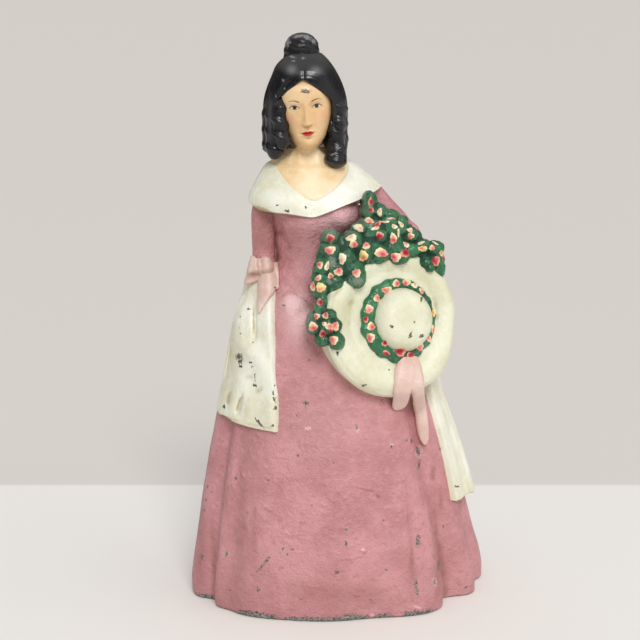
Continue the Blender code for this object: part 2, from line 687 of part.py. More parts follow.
def make_hat_ribbon(collection):
    """Two flat tails that fall from the wreath over the brim and onto the skirt."""
    matrix = hat_matrix()
    tails = (
        # distance down from the hat's centre, sideways, half width
        ((18.0, 1.5, 4.4), (28.0, 0.6, 4.4), (37.0, -0.6, 4.2), (43.0, -1.0, 2.2)),
        ((18.0, 8.5, 4.0), (28.0, 9.0, 3.6), (38.0, 10.0, 3.2), (52.0, 10.6, 2.8), (63.0, 11.4, 1.6)),
    )
    pieces = []
    for tail in tails:
        points, radii = [], []
        for (d0, s0, w0), (d1, s1, w1) in zip(tail, tail[1:]):
            for k in range(6):
                t = k / 6
                down, side, half = (d0 + (d1 - d0) * t, s0 + (s1 - s0) * t, w0 + (w1 - w0) * t)
                down, side = down * MM, side * MM
                place = matrix @ Vector((side, -down, brim_height(min(down, BRIM_RADIUS), -math.pi / 2) + 0.2 * MM))
                if down > BRIM_RADIUS:
                    past = min((down - BRIM_RADIUS) / (10 * MM), 1.0)
                    on_skirt = dress_front(place.x, place.z) - 1.0 * MM
                    place.y = place.y + (on_skirt - place.y) * past
                points.append(place)
                radii.append(half * MM)
        pieces.append(tube("hat_ribbon", points, [min(r, RIBBON_THICKNESS) for r in radii], collection))
    return pieces


def make_flowers(collection):
    """The mass of leaves and blossom over the hat's upper edge, and the spray that hangs at its left."""
    lumps = (
        # the middle's place from the hat's, across, back and up, then half width and half height, in millimetres
        (-9.2, 9.7, 59.5, 3.6, 5.0),
        (-8.5, 9.7, 52.5, 5.5, 6.0),
        (-1.0, 5.7, 43.5, 8.5, 7.0),
        (-10.5, 3.7, 43.0, 8.5, 7.0),
        (7.5, 10.7, 40.5, 7.0, 6.0),
        (13.5, 13.7, 37.0, 6.0, 5.5),
        (0.5, 4.7, 34.5, 8.0, 5.5),
        (11.5, 8.7, 32.5, 6.0, 4.5),
        (-12.5, 0.7, 33.5, 8.5, 7.0),
        (-23.5, -0.3, 36.5, 8.0, 6.5),
        (-31.0, 0.7, 39.5, 6.0, 5.5),
        (-33.5, -2.3, 31.5, 7.5, 6.5),
        (-22.5, -3.3, 27.0, 8.5, 6.0),
        (-20.0, -5.3, 22.0, 5.5, 4.5),
        (-37.5, -3.3, 24.5, 6.0, 6.5),
        (-31.5, -4.3, 19.5, 6.5, 6.0),
        (-39.5, -4.3, 17.0, 4.5, 5.0),
        (-37.0, -5.3, 9.5, 3.4, 5.0),
        (-38.5, -7.3, 2.0, 5.6, 6.5),
        (-33.5, -8.3, -4.0, 6.5, 6.5),
        (-28.5, -8.3, -6.5, 4.8, 5.0),
        (17.5, 12.7, 30.5, 5.0, 5.0),
        (22.5, 12.7, 25.0, 6.5, 7.5),
        (26.0, 13.7, 21.0, 5.2, 5.0),
    )
    pieces = []
    hat = hat_matrix().translation
    for across, back, up, half_width, half_height in lumps:
        centre = hat + Vector((across, back, up)) * MM
        pieces.append(ball("flower_mass", centre, (half_width * MM, FLOWER_HALF_DEPTH, half_height * MM), collection))
    return pieces


# The pattern that both halves are moulded from, its core and the castings


def make_pattern(collection):
    brim, crown, wreath = make_hat(collection)
    painted = {
        "pink_enamel": [make_dress(collection), *make_arms(collection)],
        "flesh_enamel": [make_shoulders(collection), *make_head(collection)],
        "black_enamel": [*make_hair(collection), *make_ringlets(collection)],
        "cream_enamel": [make_collar(collection), *make_stole(collection), brim, crown],
        "pale_pink_enamel": [*make_bow(collection), *make_hat_ribbon(collection)],
        "green_enamel": [wreath, *make_flowers(collection)],
    }
    fused = bmesh.new()
    places = []
    for paint, pieces in painted.items():
        for piece in pieces:
            mesh = baked(piece)
            places += [(vertex.co.copy(), paint) for vertex in mesh.vertices]
            fused.from_mesh(mesh)
            hide(piece)
    data = bpy.data.meshes.new("pattern")
    fused.to_mesh(data)
    fused.free()
    pattern = new_object("pattern", data, collection)
    remesh = pattern.modifiers.new("one_skin", "REMESH")
    remesh.mode = "VOXEL"
    remesh.voxel_size = PATTERN_VOXEL
    remesh.adaptivity = 0
    smooth = pattern.modifiers.new("rubbed_down", "SMOOTH")
    smooth.factor = 0.5
    smooth.iterations = 2
    decimate = pattern.modifiers.new("fewer_faces", "DECIMATE")
    decimate.ratio = PATTERN_SHARE_KEPT
    hide(pattern)
    tree = kdtree.KDTree(len(places))
    for i, (place, _) in enumerate(places):
        tree.insert(place, i)
    tree.balance()
    return pattern, lambda point: places[tree.find(point)[1]][1]


def post(name, x, z, collection):
    """A round post across the hollow, from the front wall to the rear wall."""
    reach = HEM_FRONT_DEPTH + HEM_REAR_DEPTH
    return cylinder(name, POST_RADIUS, (x, PARTING_Y - reach, z), (x, PARTING_Y + reach, z), collection)


def pin_places():
    _, half_width, _, _ = dress_section(PIN_HEIGHT)
    out = half_width - WALL - fold_room() - 0.2 * PIN_PAD_RADIUS
    centre = dress_section(PIN_HEIGHT)[0]
    return [(centre + side * out, PIN_HEIGHT) for side in (-1, 1)]


def fold_room():
    """How far the folds bring the wall in at the register pins."""
    return max(fold_depth(0.0, PIN_HEIGHT), fold_depth(math.pi, PIN_HEIGHT))


def make_core(collection):
    """The hollow inside both halves: the dress drawn in by the wall, open below, with room left for the posts."""
    rings = []
    top = BUST_HEIGHT + 6 * MM
    bottom = -2 * BELOW_FLOOR
    for i in range(CORE_STEP_COUNT + 1):
        z = bottom + (top - bottom) * i / CORE_STEP_COUNT
        rounded = math.sqrt(1 - max(0.0, 1 - (top - z) / (9 * MM)) ** 2 * 0.8)
        section = [value * (rounded if k else 1) for k, value in enumerate(dress_section(max(z, 0.0)))]
        rings.append([oval(z, section, a, WALL + fold_depth(a, max(z, 0.0))) for a in turn_steps(CORE_SIDE_COUNT)])
    core = loft("core", rings, collection)
    for x, z in screw_places():
        boolean(core, post("post", x, z, collection), "DIFFERENCE")
    for x, z in pin_places():
        near = (x, PARTING_Y - 7 * MM, z)
        far = (x, PARTING_Y + 7 * MM, z)
        boolean(core, cylinder("pin_pad", PIN_PAD_RADIUS, near, far, collection), "DIFFERENCE")
    hide(core)
    return core


def make_head_core(collection):
    """The second hollow, inside the head."""
    inset = 1.6 * WALL
    radii = (FACE_HALF_WIDTH - 0.5 * WALL, HAIR_REAR_DEPTH - inset, HAIR_RISE - 2 * inset)
    core = ball("head_core", head_point(0, -HAIR_SET_BACK, 0), radii, collection)
    hide(core)
    return core


def screw_places():
    return [(WAIST_CENTRE_X, CHEST_SCREW_HEIGHT), (SKIRT_SCREW_X, SKIRT_SCREW_HEIGHT)]


def seat_y(x, z):
    """y of the flat that a screw's head bears on, in a recess in the rear wall."""
    centre, half_width, _, rear = dress_section(z)
    share = min((abs(x - centre) + SCREW_HEAD_RADIUS) / half_width, 1.0)
    wall = PARTING_Y + rear * math.sqrt(1 - share**2)
    fold = max(fold_depth(math.radians(270 + d), z) for d in (-4, 0, 4))
    return wall - fold - HEAD_RECESS_DEPTH


def mould_half(name, front, collection):
    """The half space, above the floor, that one casting fills."""
    reach = 0.4
    side = -1 if front else 1
    edge = PARTING_Y + side * PARTING_GAP / 2
    bpy.ops.mesh.primitive_cube_add(size=1)
    box = bpy.context.object
    box.name = name
    box.data.transform(Matrix.Diagonal((reach, reach, reach, 1)))
    box.data.transform(Matrix.Translation((0, edge + side * reach / 2, reach / 2)))
    for old in box.users_collection:
        old.objects.unlink(box)
    collection.objects.link(box)
    return box


def make_casting(name, front, pattern, paint_of, cores, parts, cutters):
    casting = new_object(name, baked(pattern), parts)
    boolean(casting, mould_half(name + "_mould", front, cutters), "INTERSECT")
    for core in cores:
        boolean(casting, core, "DIFFERENCE")
    for x, z in screw_places():
        if front:
            start = (x, PARTING_Y - THREAD_ENGAGEMENT - 1.5 * MM, z)
            end = (x, PARTING_Y + 5 * MM, z)
            boolean(casting, cylinder("tapped_hole", SCREW_RADIUS + SCREW_CLEARANCE, start, end, cutters), "DIFFERENCE")
        else:
            seat = seat_y(x, z)
            hole = cylinder("screw_hole", SCREW_RADIUS + SCREW_CLEARANCE, (x, PARTING_Y - 5 * MM, z), (x, seat + 5 * MM, z), cutters)
            boolean(casting, hole, "DIFFERENCE")
            recess_radius = SCREW_HEAD_RADIUS + 2 * SCREW_CLEARANCE
            recess = cylinder("head_recess", recess_radius, (x, seat, z), (x, seat + 30 * MM, z), cutters)
            boolean(casting, recess, "DIFFERENCE")
    for x, z in pin_places():
        if front:
            pin = cylinder("register_pin", PIN_RADIUS, (x, PARTING_Y - 2 * MM, z), (x, PARTING_Y + PIN_LENGTH, z), cutters, 20)
            boolean(casting, pin, "UNION")
        else:
            deep = PARTING_Y + PIN_LENGTH + PIN_CLEARANCE
            socket = cylinder("pin_socket", PIN_RADIUS + PIN_CLEARANCE, (x, PARTING_Y - 2 * MM, z), (x, deep, z), cutters, 20)
            boolean(casting, socket, "DIFFERENCE")
    paint_casting(casting, paint_of)
    return casting


def paint_casting(casting, paint_of):
    """Applies the cuts, and gives each face the paint of the pattern piece that it came from."""
    casting.data = baked(casting)
    casting.modifiers.clear()
    names = list(PAINTS)
    for name in names:
        casting.data.materials.append(enamel(name))
    for face in casting.data.polygons:
        face.material_index = names.index(paint_of(face.center))
    casting.data.shade_smooth()
    casting.data.set_sharp_from_angle(angle=math.radians(40))


def make_screw(name, x, z, parts, cutters):
    """A slotted round-head machine screw along Y, turned as one profile about its own axis."""
    seat = seat_y(x, z) + SCREW_CLEARANCE
    tip = PARTING_Y - THREAD_ENGAGEMENT
    length = seat - tip
    steps = 5
    profile = [
        (SCREW_HEAD_RADIUS * math.cos(k / steps * math.pi / 2), SCREW_HEAD_RISE * math.sin(k / steps * math.pi / 2))
        for k in range(steps, -1, -1)
    ]
    profile[0] = (0.0, SCREW_HEAD_RISE)
    profile.append((SCREW_RADIUS, 0.0))
    turns = int(THREAD_ENGAGEMENT / SCREW_PITCH)
    thread_top = -length + turns * SCREW_PITCH
    for k in range(turns):
        at = thread_top - k * SCREW_PITCH
        profile.append((SCREW_RADIUS, at))
        profile.append((SCREW_RADIUS - THREAD_DEPTH, at - 0.5 * SCREW_PITCH))
    profile.append((SCREW_RADIUS - THREAD_DEPTH, -length))
    profile.append((0.0, -length))
    mesh = bmesh.new()
    points = [mesh.verts.new((radius, 0, height)) for radius, height in profile]
    for a, b in zip(points, points[1:]):
        mesh.edges.new((a, b))
    data = bpy.data.meshes.new(name)
    mesh.to_mesh(data)
    mesh.free()
    screw = new_object(name, data, parts)
    turned = screw.modifiers.new("turned", "SCREW")
    turned.steps = turned.render_steps = 14
    turned.use_merge_vertices = True
    turned.merge_threshold = 0.00001
    screw.data.materials.append(enamel("bare_iron"))
    bpy.ops.mesh.primitive_cube_add(size=1)
    slot = bpy.context.object
    slot.name = name + "_slot"
    slot.data.transform(Matrix.Diagonal((4 * SCREW_HEAD_RADIUS, SCREW_SLOT_WIDTH, 2 * SCREW_SLOT_DEPTH, 1)))
    slot.data.transform(Matrix.Translation((0, 0, SCREW_HEAD_RISE)))
    for old in slot.users_collection:
        old.objects.unlink(slot)
    cutters.objects.link(slot)
    place = Matrix.Translation((x, seat, z)) @ Matrix.Rotation(-math.pi / 2, 4, "X")
    screw.matrix_world = place
    slot.matrix_world = place
    boolean(screw, slot, "DIFFERENCE")
    return screw


def main():
    parts, cutters = start_scene("doorstop")
    pattern, paint_of = make_pattern(cutters)
    cores = [make_core(cutters), make_head_core(cutters)]
    make_casting("front_casting", True, pattern, paint_of, cores, parts, cutters)
    make_casting("rear_casting", False, pattern, paint_of, cores, parts, cutters)
    for name, (x, z) in zip(("chest_screw", "skirt_screw"), screw_places()):
        make_screw(name, x, z, parts, cutters)


main()
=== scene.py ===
import math

import bpy
import numpy as np
from mathutils import Matrix, Vector


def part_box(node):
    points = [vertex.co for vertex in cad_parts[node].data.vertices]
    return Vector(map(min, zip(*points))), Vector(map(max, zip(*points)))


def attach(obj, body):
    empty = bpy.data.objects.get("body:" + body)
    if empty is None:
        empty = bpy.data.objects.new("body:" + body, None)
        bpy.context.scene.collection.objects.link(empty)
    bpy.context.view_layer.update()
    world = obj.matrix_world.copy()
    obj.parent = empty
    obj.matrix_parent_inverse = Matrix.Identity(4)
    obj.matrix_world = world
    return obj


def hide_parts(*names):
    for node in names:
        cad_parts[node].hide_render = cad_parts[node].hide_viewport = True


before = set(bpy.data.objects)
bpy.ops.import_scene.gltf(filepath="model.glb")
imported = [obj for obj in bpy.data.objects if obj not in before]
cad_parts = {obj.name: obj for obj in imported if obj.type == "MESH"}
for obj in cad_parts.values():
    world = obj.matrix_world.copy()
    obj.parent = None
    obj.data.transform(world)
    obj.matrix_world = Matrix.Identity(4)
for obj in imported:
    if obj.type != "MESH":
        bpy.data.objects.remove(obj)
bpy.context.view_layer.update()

MM = 0.001
bpy.ops.object.select_all(action="DESELECT")

# Camera, table and light. The camera stands a little to the figure's right and a little above, as the
# photographer's did. The light is broad and soft, from in front and above, over a plain pale table.
PICTURE_SIDE = 640
LENS, SENSOR = 88.5, 36.0
CAMERA_AIM = Vector((-8.8, 7.0, 141.0)) * MM
CAMERA_DISTANCE = 800 * MM
CAMERA_ROUND, CAMERA_UP = math.radians(-12.0), math.radians(12.0)
TABLE_END = 168 * MM  # behind the figure, where the photograph's table stops
TABLE, WALL_BEHIND = "#eeeae3", "#dbd5cd"
ROOM_LIGHT, ROOM_STRENGTH = "#f4f6fa", 0.62
LAMPS = (
    # name, heading round from the front, height, strength and how wide it looks, angles in degrees
    ("softbox_over_camera", -2, 42, 1.71, 24),
    ("reflector_at_right", 60, 25, 0.42, 60),
)


def linear(hex_colour):
    """An sRGB hex value as linear red, green, blue and alpha."""
    channels = [int(hex_colour[i : i + 2], 16) / 255 for i in (1, 3, 5)]
    return (*[c / 12.92 if c <= 0.04045 else ((c + 0.055) / 1.055) ** 2.4 for c in channels], 1.0)


def add(tree, kind, links=(), out=0, **settings):
    """Adds a shader node with its settings, and returns one of its outputs, or several. Its inputs, in order
    or by name or number, each take a value or another node's output."""
    node = tree.nodes.new("ShaderNode" + kind)
    for name, value in settings.items():
        setattr(node, name, value)
    for name, value in links.items() if isinstance(links, dict) else enumerate(links):
        if isinstance(value, bpy.types.NodeSocket):
            tree.links.new(value, node.inputs[name])
        else:
            node.inputs[name].default_value = value
    if isinstance(out, tuple):
        return [node.outputs[name] for name in out]
    return node.outputs[out] if len(node.outputs) else None


def new_material(name, **constants):
    """A material with its shader, whose constant inputs are given by name, with _ for a space."""
    material = bpy.data.materials.new(name)
    material.use_nodes = True
    shader = material.node_tree.nodes["Principled BSDF"]
    for title, value in constants.items():
        shader.inputs[title.replace("_", " ")].default_value = value
    return material, material.node_tree, shader


def heading(turn, up):
    """The direction at an angle round from the front and an angle up, in radians."""
    return Vector((math.sin(turn) * math.cos(up), -math.cos(turn) * math.cos(up), math.sin(up)))


camera_back = heading(CAMERA_ROUND, CAMERA_UP)
bpy.ops.object.camera_add(location=CAMERA_AIM + camera_back * CAMERA_DISTANCE)
camera = bpy.context.object
camera.rotation_mode = "QUATERNION"
camera.rotation_quaternion = (-camera_back).to_track_quat("-Z", "Y")
camera.data.lens = LENS
camera.data.sensor_width = SENSOR
bpy.context.scene.camera = camera
bpy.context.scene.view_settings.view_transform = "Standard"

bpy.ops.mesh.primitive_plane_add(size=80)
table = bpy.context.object
table.name = "table"
table_paint, tree, shader = new_material("plain_matt_laminate", Roughness=0.6, Specular_IOR_Level=0.25)
# Depth is measured away from the camera, so that the table's end lies level in the picture
place = add(tree, "TexCoord", out="Object")
turned_table = add(tree, "Mapping", {"Vector": place, "Rotation": (0, 0, -CAMERA_ROUND)})
depth = add(tree, "SeparateXYZ", {0: turned_table}, "Y")
past_end = add(tree, "MapRange", (depth, TABLE_END - 2 * MM, TABLE_END + 4 * MM))
tone = add(tree, "Mix", {0: past_end, 6: linear(TABLE), 7: linear(WALL_BEHIND)}, 2, data_type="RGBA")
tree.links.new(tone, shader.inputs["Base Color"])
table.data.materials.append(table_paint)

world = bpy.data.worlds.new("soft_room")
bpy.context.scene.world = world
world.use_nodes = True
tree = world.node_tree
tree.nodes.clear()
rays = ("Is Camera Ray", "Is Glossy Ray", "Is Transmission Ray")
viewed, in_gloss, through = add(tree, "LightPath", out=rays)
for ray in (in_gloss, through):
    viewed = add(tree, "Math", (viewed, ray), operation="MAXIMUM")
room_light = add(tree, "Background", {"Color": linear(ROOM_LIGHT), "Strength": ROOM_STRENGTH})
# What the gloss reflects: a bright ceiling that falls off to a dim floor
upward = add(tree, "SeparateXYZ", {0: add(tree, "TexCoord", out="Generated")}, "Z")
ceiling = add(tree, "MapRange", (upward, 0.2, 0.9, 0.14, 1.15))
seen_strength = add(tree, "Mix", {0: in_gloss, 2: 1.0, 3: ceiling}, data_type="FLOAT")
room_seen = add(tree, "Background", {"Color": linear(WALL_BEHIND), "Strength": seen_strength})
room = add(tree, "MixShader", {0: viewed, 1: room_light, 2: room_seen})
add(tree, "OutputWorld", {"Surface": room})

for name, turn, up, strength, width in LAMPS:
    bpy.ops.object.light_add(type="SUN")
    lamp = bpy.context.object
    lamp.name = name
    lamp.rotation_euler = heading(math.radians(turn), math.radians(up)).to_track_quat("Z", "Y").to_euler()
    lamp.data.energy = strength
    lamp.data.angle = math.radians(width)

# The dress: skirt and bodice, the front and rear walls of the hollow casting. It is grey iron poured in
# sand, about 4 mm thick, drawn in at the waist and spread in deep pleats at the sides and back, and
# brushed with dusty pink enamel. The bottom rim is bare, where it has scraped along the floor.
PARTING_Y = 7.0
PARTING_GAP = 0.3
SEAM_Y = {-1: PARTING_Y - PARTING_GAP / 2, 1: PARTING_Y + PARTING_GAP / 2}  # by side, -1 for the front
IRON_WALL = 4.2
WAIST_Z, WAIST_X = 174.0, -14.5
DRESS_TOP = 206.0
SKIRT_SPREAD = (
    # height, then share of the way from the waist's size to the hem's
    (0, 1),
    (10.4, 1),
    (33.1, 0.925),
    (60.9, 0.83),
    (94, 0.685),
    (121.8, 0.54),
    (142.7, 0.37),
    (158.3, 0.17),
    (174, 0),
)
WAIST_SIZE = (17.5, 19.5, 17)  # half width, front depth and rear depth
HEM_SIZE = (76.2, 55, 41)
BODICE = (
    # height, middle, half width, front depth, rear depth
    (174, -14.5, 17.5, 19.5, 17),
    (185, -14.5, 19.5, 22, 18),
    (198, -13.5, 23, 26.5, 19),
    (207, -12, 24, 23.6, 19),
)
PLEATS = (
    # degrees round the hem, where 90 is the front and 180 the figure's right, then depth, or fullness if
    # below 0, and half width
    (8, -2, 10),
    (22, 3.8, 6.5),
    (34, -3, 8),
    (47, 6.6, 7),
    (64, -5, 15),
    (84, 1, 9),
    (118, 0.6, 9),
    (147, 2, 6.5),
    (162.6, 6.2, 6.5),
    (204, 4, 8),
    (232, 4.5, 8),
    (258, 4, 7.5),
    (284, 4, 7.5),
    (310, 4.5, 8),
    (337, 4, 8),
)
CREASES = (
    # from x, z to x, z on the front, how deep, or how proud if below 0, and half width
    (-32.5, 163.5, -25.9, 159.7, 0.5, 1.5),
    (-25.9, 159.7, -14, 151.5, 0.6, 1.6),
    (-14, 151.5, 6, 163, 0.5, 2),
    (-28, 154.5, -20.5, 148.5, -1.5, 5.5),
    (-2, 149, 12, 156, -1.2, 5.5),
    (-33.5, 196, -32.4, 188, 1.2, 2.4),
    (-32.4, 188, -28.3, 181.5, 0.9, 2),
    (-23, 190, -21, 192, -0.8, 6.5),
    (0, 190, 1, 192, -0.7, 6.5),
    (-24, 177, -22.5, 166, -0.4, 3),
    (-13, 178, -11, 160, -0.4, 5),
    (-36, 128, -40, 90, -0.7, 7),
    (-8, 70, 2, 20, -0.5, 12),
    (26, 70, 30, 12, -0.7, 7),
)
HEM_EDGE = 1.2  # the bottom edge is rounded this far up
HEM_ROWS = (0, 0.3, 0.7, 1.3)
CAST_LUMPS = 0.45  # how far the casting's skin rises and falls
# Each enamel's tones: main, thin and thick paint; the dirt tone, laid as dust and as painted shade in hollows
# and creases; the chalk tone, laid as painted highlights and glints and as a rubbed bloom.
SKIRT_PINK = {"main": "#cb8e91", "thin": "#b97c7e", "thick": "#dba3a8", "dirt_and_shade": "#8f5f55", "bloom_and_highlight": "#efc2c2"}
IRON_IN_PINK = ("#54504c", "#a19b95")


def along(rows, height):
    """The smooth curve through rows that start with a height: each of the other values at each height."""
    rows = np.array(rows, float)
    height = np.clip(height, rows[0, 0], rows[-1, 0])
    i = np.clip(np.searchsorted(rows[:, 0], height, side="right") - 1, 0, len(rows) - 2)
    low, high = rows[i], rows[i + 1]
    before, after = rows[np.maximum(i - 1, 0)], rows[np.minimum(i + 2, len(rows) - 1)]
    span = high[..., :1] - low[..., :1]
    t = (np.asarray(height)[..., None] - low[..., :1]) / span
    slope_low = (high - before) / (high[..., :1] - before[..., :1]) * span
    slope_high = (after - low) / (after[..., :1] - low[..., :1]) * span
    values = (
        (2 * t**3 - 3 * t**2 + 1) * low
        + (t**3 - 2 * t**2 + t) * slope_low
        + (3 * t**2 - 2 * t**3) * high
        + (t**3 - t**2) * slope_high
    )
    return np.moveaxis(values[..., 1:], -1, 0)


def smooth_step(low, high, value):
    t = np.clip((value - low) / (high - low), 0, 1)
    return t * t * (3 - 2 * t)


def bump(away, half_width):
    return np.exp(-((away / half_width) ** 2))


def oval(section, angle, z, inset=0.0):
    """A point on an oval section with its own front and rear depth. Angles are in degrees."""
    middle, half_width, front, rear = section
    turn = np.radians(angle)
    depth = np.where(np.sin(turn) > 0, front, rear)
    return (
        middle + (half_width - inset) * np.cos(turn),
        PARTING_Y - (depth - inset) * np.sin(turn),
        z + 0 * turn,
    )


def dress_section(z):
    """Middle, half width, front and rear depth, evened out over the waist so that no line shows there."""
    soft = 4.0 * smooth_step(14, 30, np.asarray(z))
    total = 0.0
    for step, weight in ((-1.0, 0.2), (-0.5, 0.2), (0.0, 0.2), (0.5, 0.2), (1.0, 0.2)):
        at = z + step * soft
        share = along(SKIRT_SPREAD, at)[0]
        skirt = [WAIST_X * (1 - share)]
        skirt += [waist + (hem - waist) * share for waist, hem in zip(WAIST_SIZE, HEM_SIZE)]
        total = total + weight * np.where(np.asarray(at) < WAIST_Z, skirt, along(BODICE, at))
    return list(total)


def pleat_depth(angle, z):
    depth = 0.0
    for at, deep, half_width in PLEATS:
        away = (angle - at + 180) % 360 - 180
        reach, power = (0.93 * WAIST_Z, 0.6) if deep > 0 else (62, 1.3)
        depth = depth + deep * bump(away, half_width) * np.clip(1 - z / reach, 0, 1) ** power
    return depth


def from_line(x, z, x0, z0, x1, z1):
    """How far x, z is from the line between two points."""
    dx, dz = x1 - x0, z1 - z0
    share = np.clip(((x - x0) * dx + (z - z0) * dz) / (dx * dx + dz * dz), 0, 1)
    return np.hypot(x - x0 - share * dx, z - z0 - share * dz)


def dress_point(angle, z):
    """The dress with its pleats and, on the front, its creases."""
    section = dress_section(z)
    x, _, _ = oval(section, angle, z)
    relief = pleat_depth(angle, z)
    on_front = smooth_step(0, 12, np.minimum(angle, 180 - angle))
    for x0, z0, x1, z1, deep, half_width in CREASES:
        relief = relief + deep * on_front * bump(from_line(x, z, x0, z0, x1, z1), half_width)
    rounding = HEM_EDGE * np.clip(1 - z / HEM_EDGE, 0, 1) ** 2
    return oval(section, angle, z, relief + rounding)


def points_of(piece):
    places = np.empty(3 * len(piece.data.vertices), np.float32)
    piece.data.vertices.foreach_get("co", places)
    return places.reshape(-1, 3).astype(float) / MM


def move_points(piece, places):
    piece.data.vertices.foreach_set("co", (np.asarray(places) * MM).astype(np.float32).ravel())
    piece.data.update()


def work_on(piece):
    """Selects one piece alone, and makes it the active one."""
    bpy.ops.object.select_all(action="DESELECT")
    piece.select_set(True)
    bpy.context.view_layer.objects.active = piece


def shaped_grid(name, across, down, place):
    """A grid of squares, each point moved to place(u, v), where u and v run from 0 to 1."""
    bpy.ops.object.select_all(action="DESELECT")
    bpy.ops.mesh.primitive_grid_add(x_subdivisions=across, y_subdivisions=down, size=1)
    piece = bpy.context.object
    piece.name = piece.data.name = name
    u, v = np.clip(points_of(piece)[:, :2] * MM + 0.5, 0, 1).T
    move_points(piece, np.stack(np.broadcast_arrays(*place(u, v)), axis=1))
    return piece


def grid_shares(across, down):
    """u and v of each point of a shaped grid."""
    v, u = np.indices((down + 1, across + 1)).reshape(2, -1)
    return u / across, v / down


def apply_modifier(piece, kind, **settings):
    work_on(piece)
    modifier = piece.modifiers.new(kind.lower(), kind)
    for name, value in settings.items():
        setattr(modifier, name, value)
    bpy.ops.object.modifier_apply(modifier=modifier.name)


def face_away(piece, middle):
    """Turns an open sheet's faces away from a point."""
    mesh = piece.data
    normals = np.array([face.normal for face in mesh.polygons])
    outward = np.array([face.center for face in mesh.polygons]) / MM - np.array(middle)
    if (normals * outward).sum() < 0:
        mesh.flip_normals()


def lumpy(piece, size, height):
    """The slight rise and fall that a sand casting and thick paint leave."""
    texture = bpy.data.textures.new(piece.name + "_lumps", "CLOUDS")
    texture.noise_scale = size * MM
    texture.noise_depth = 2
    apply_modifier(piece, "DISPLACE", texture=texture, strength=height * MM, texture_coords="LOCAL")


SCREWS = ("chest_screw", "skirt_screw")
SCREW_HEAD_RISE, SCREW_RADIUS, RECESS_RADIUS = 2.6, 2.4, 5.0
DRILL_LENGTH, DRILL_PAST_SEAT = 60, 5


def screw_seat(node):
    """x, z and y of the middle of a screw's bearing face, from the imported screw."""
    low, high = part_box(node)
    return (low.x + high.x) / 2 / MM, (low.z + high.z) / 2 / MM, high.y / MM - SCREW_HEAD_RISE


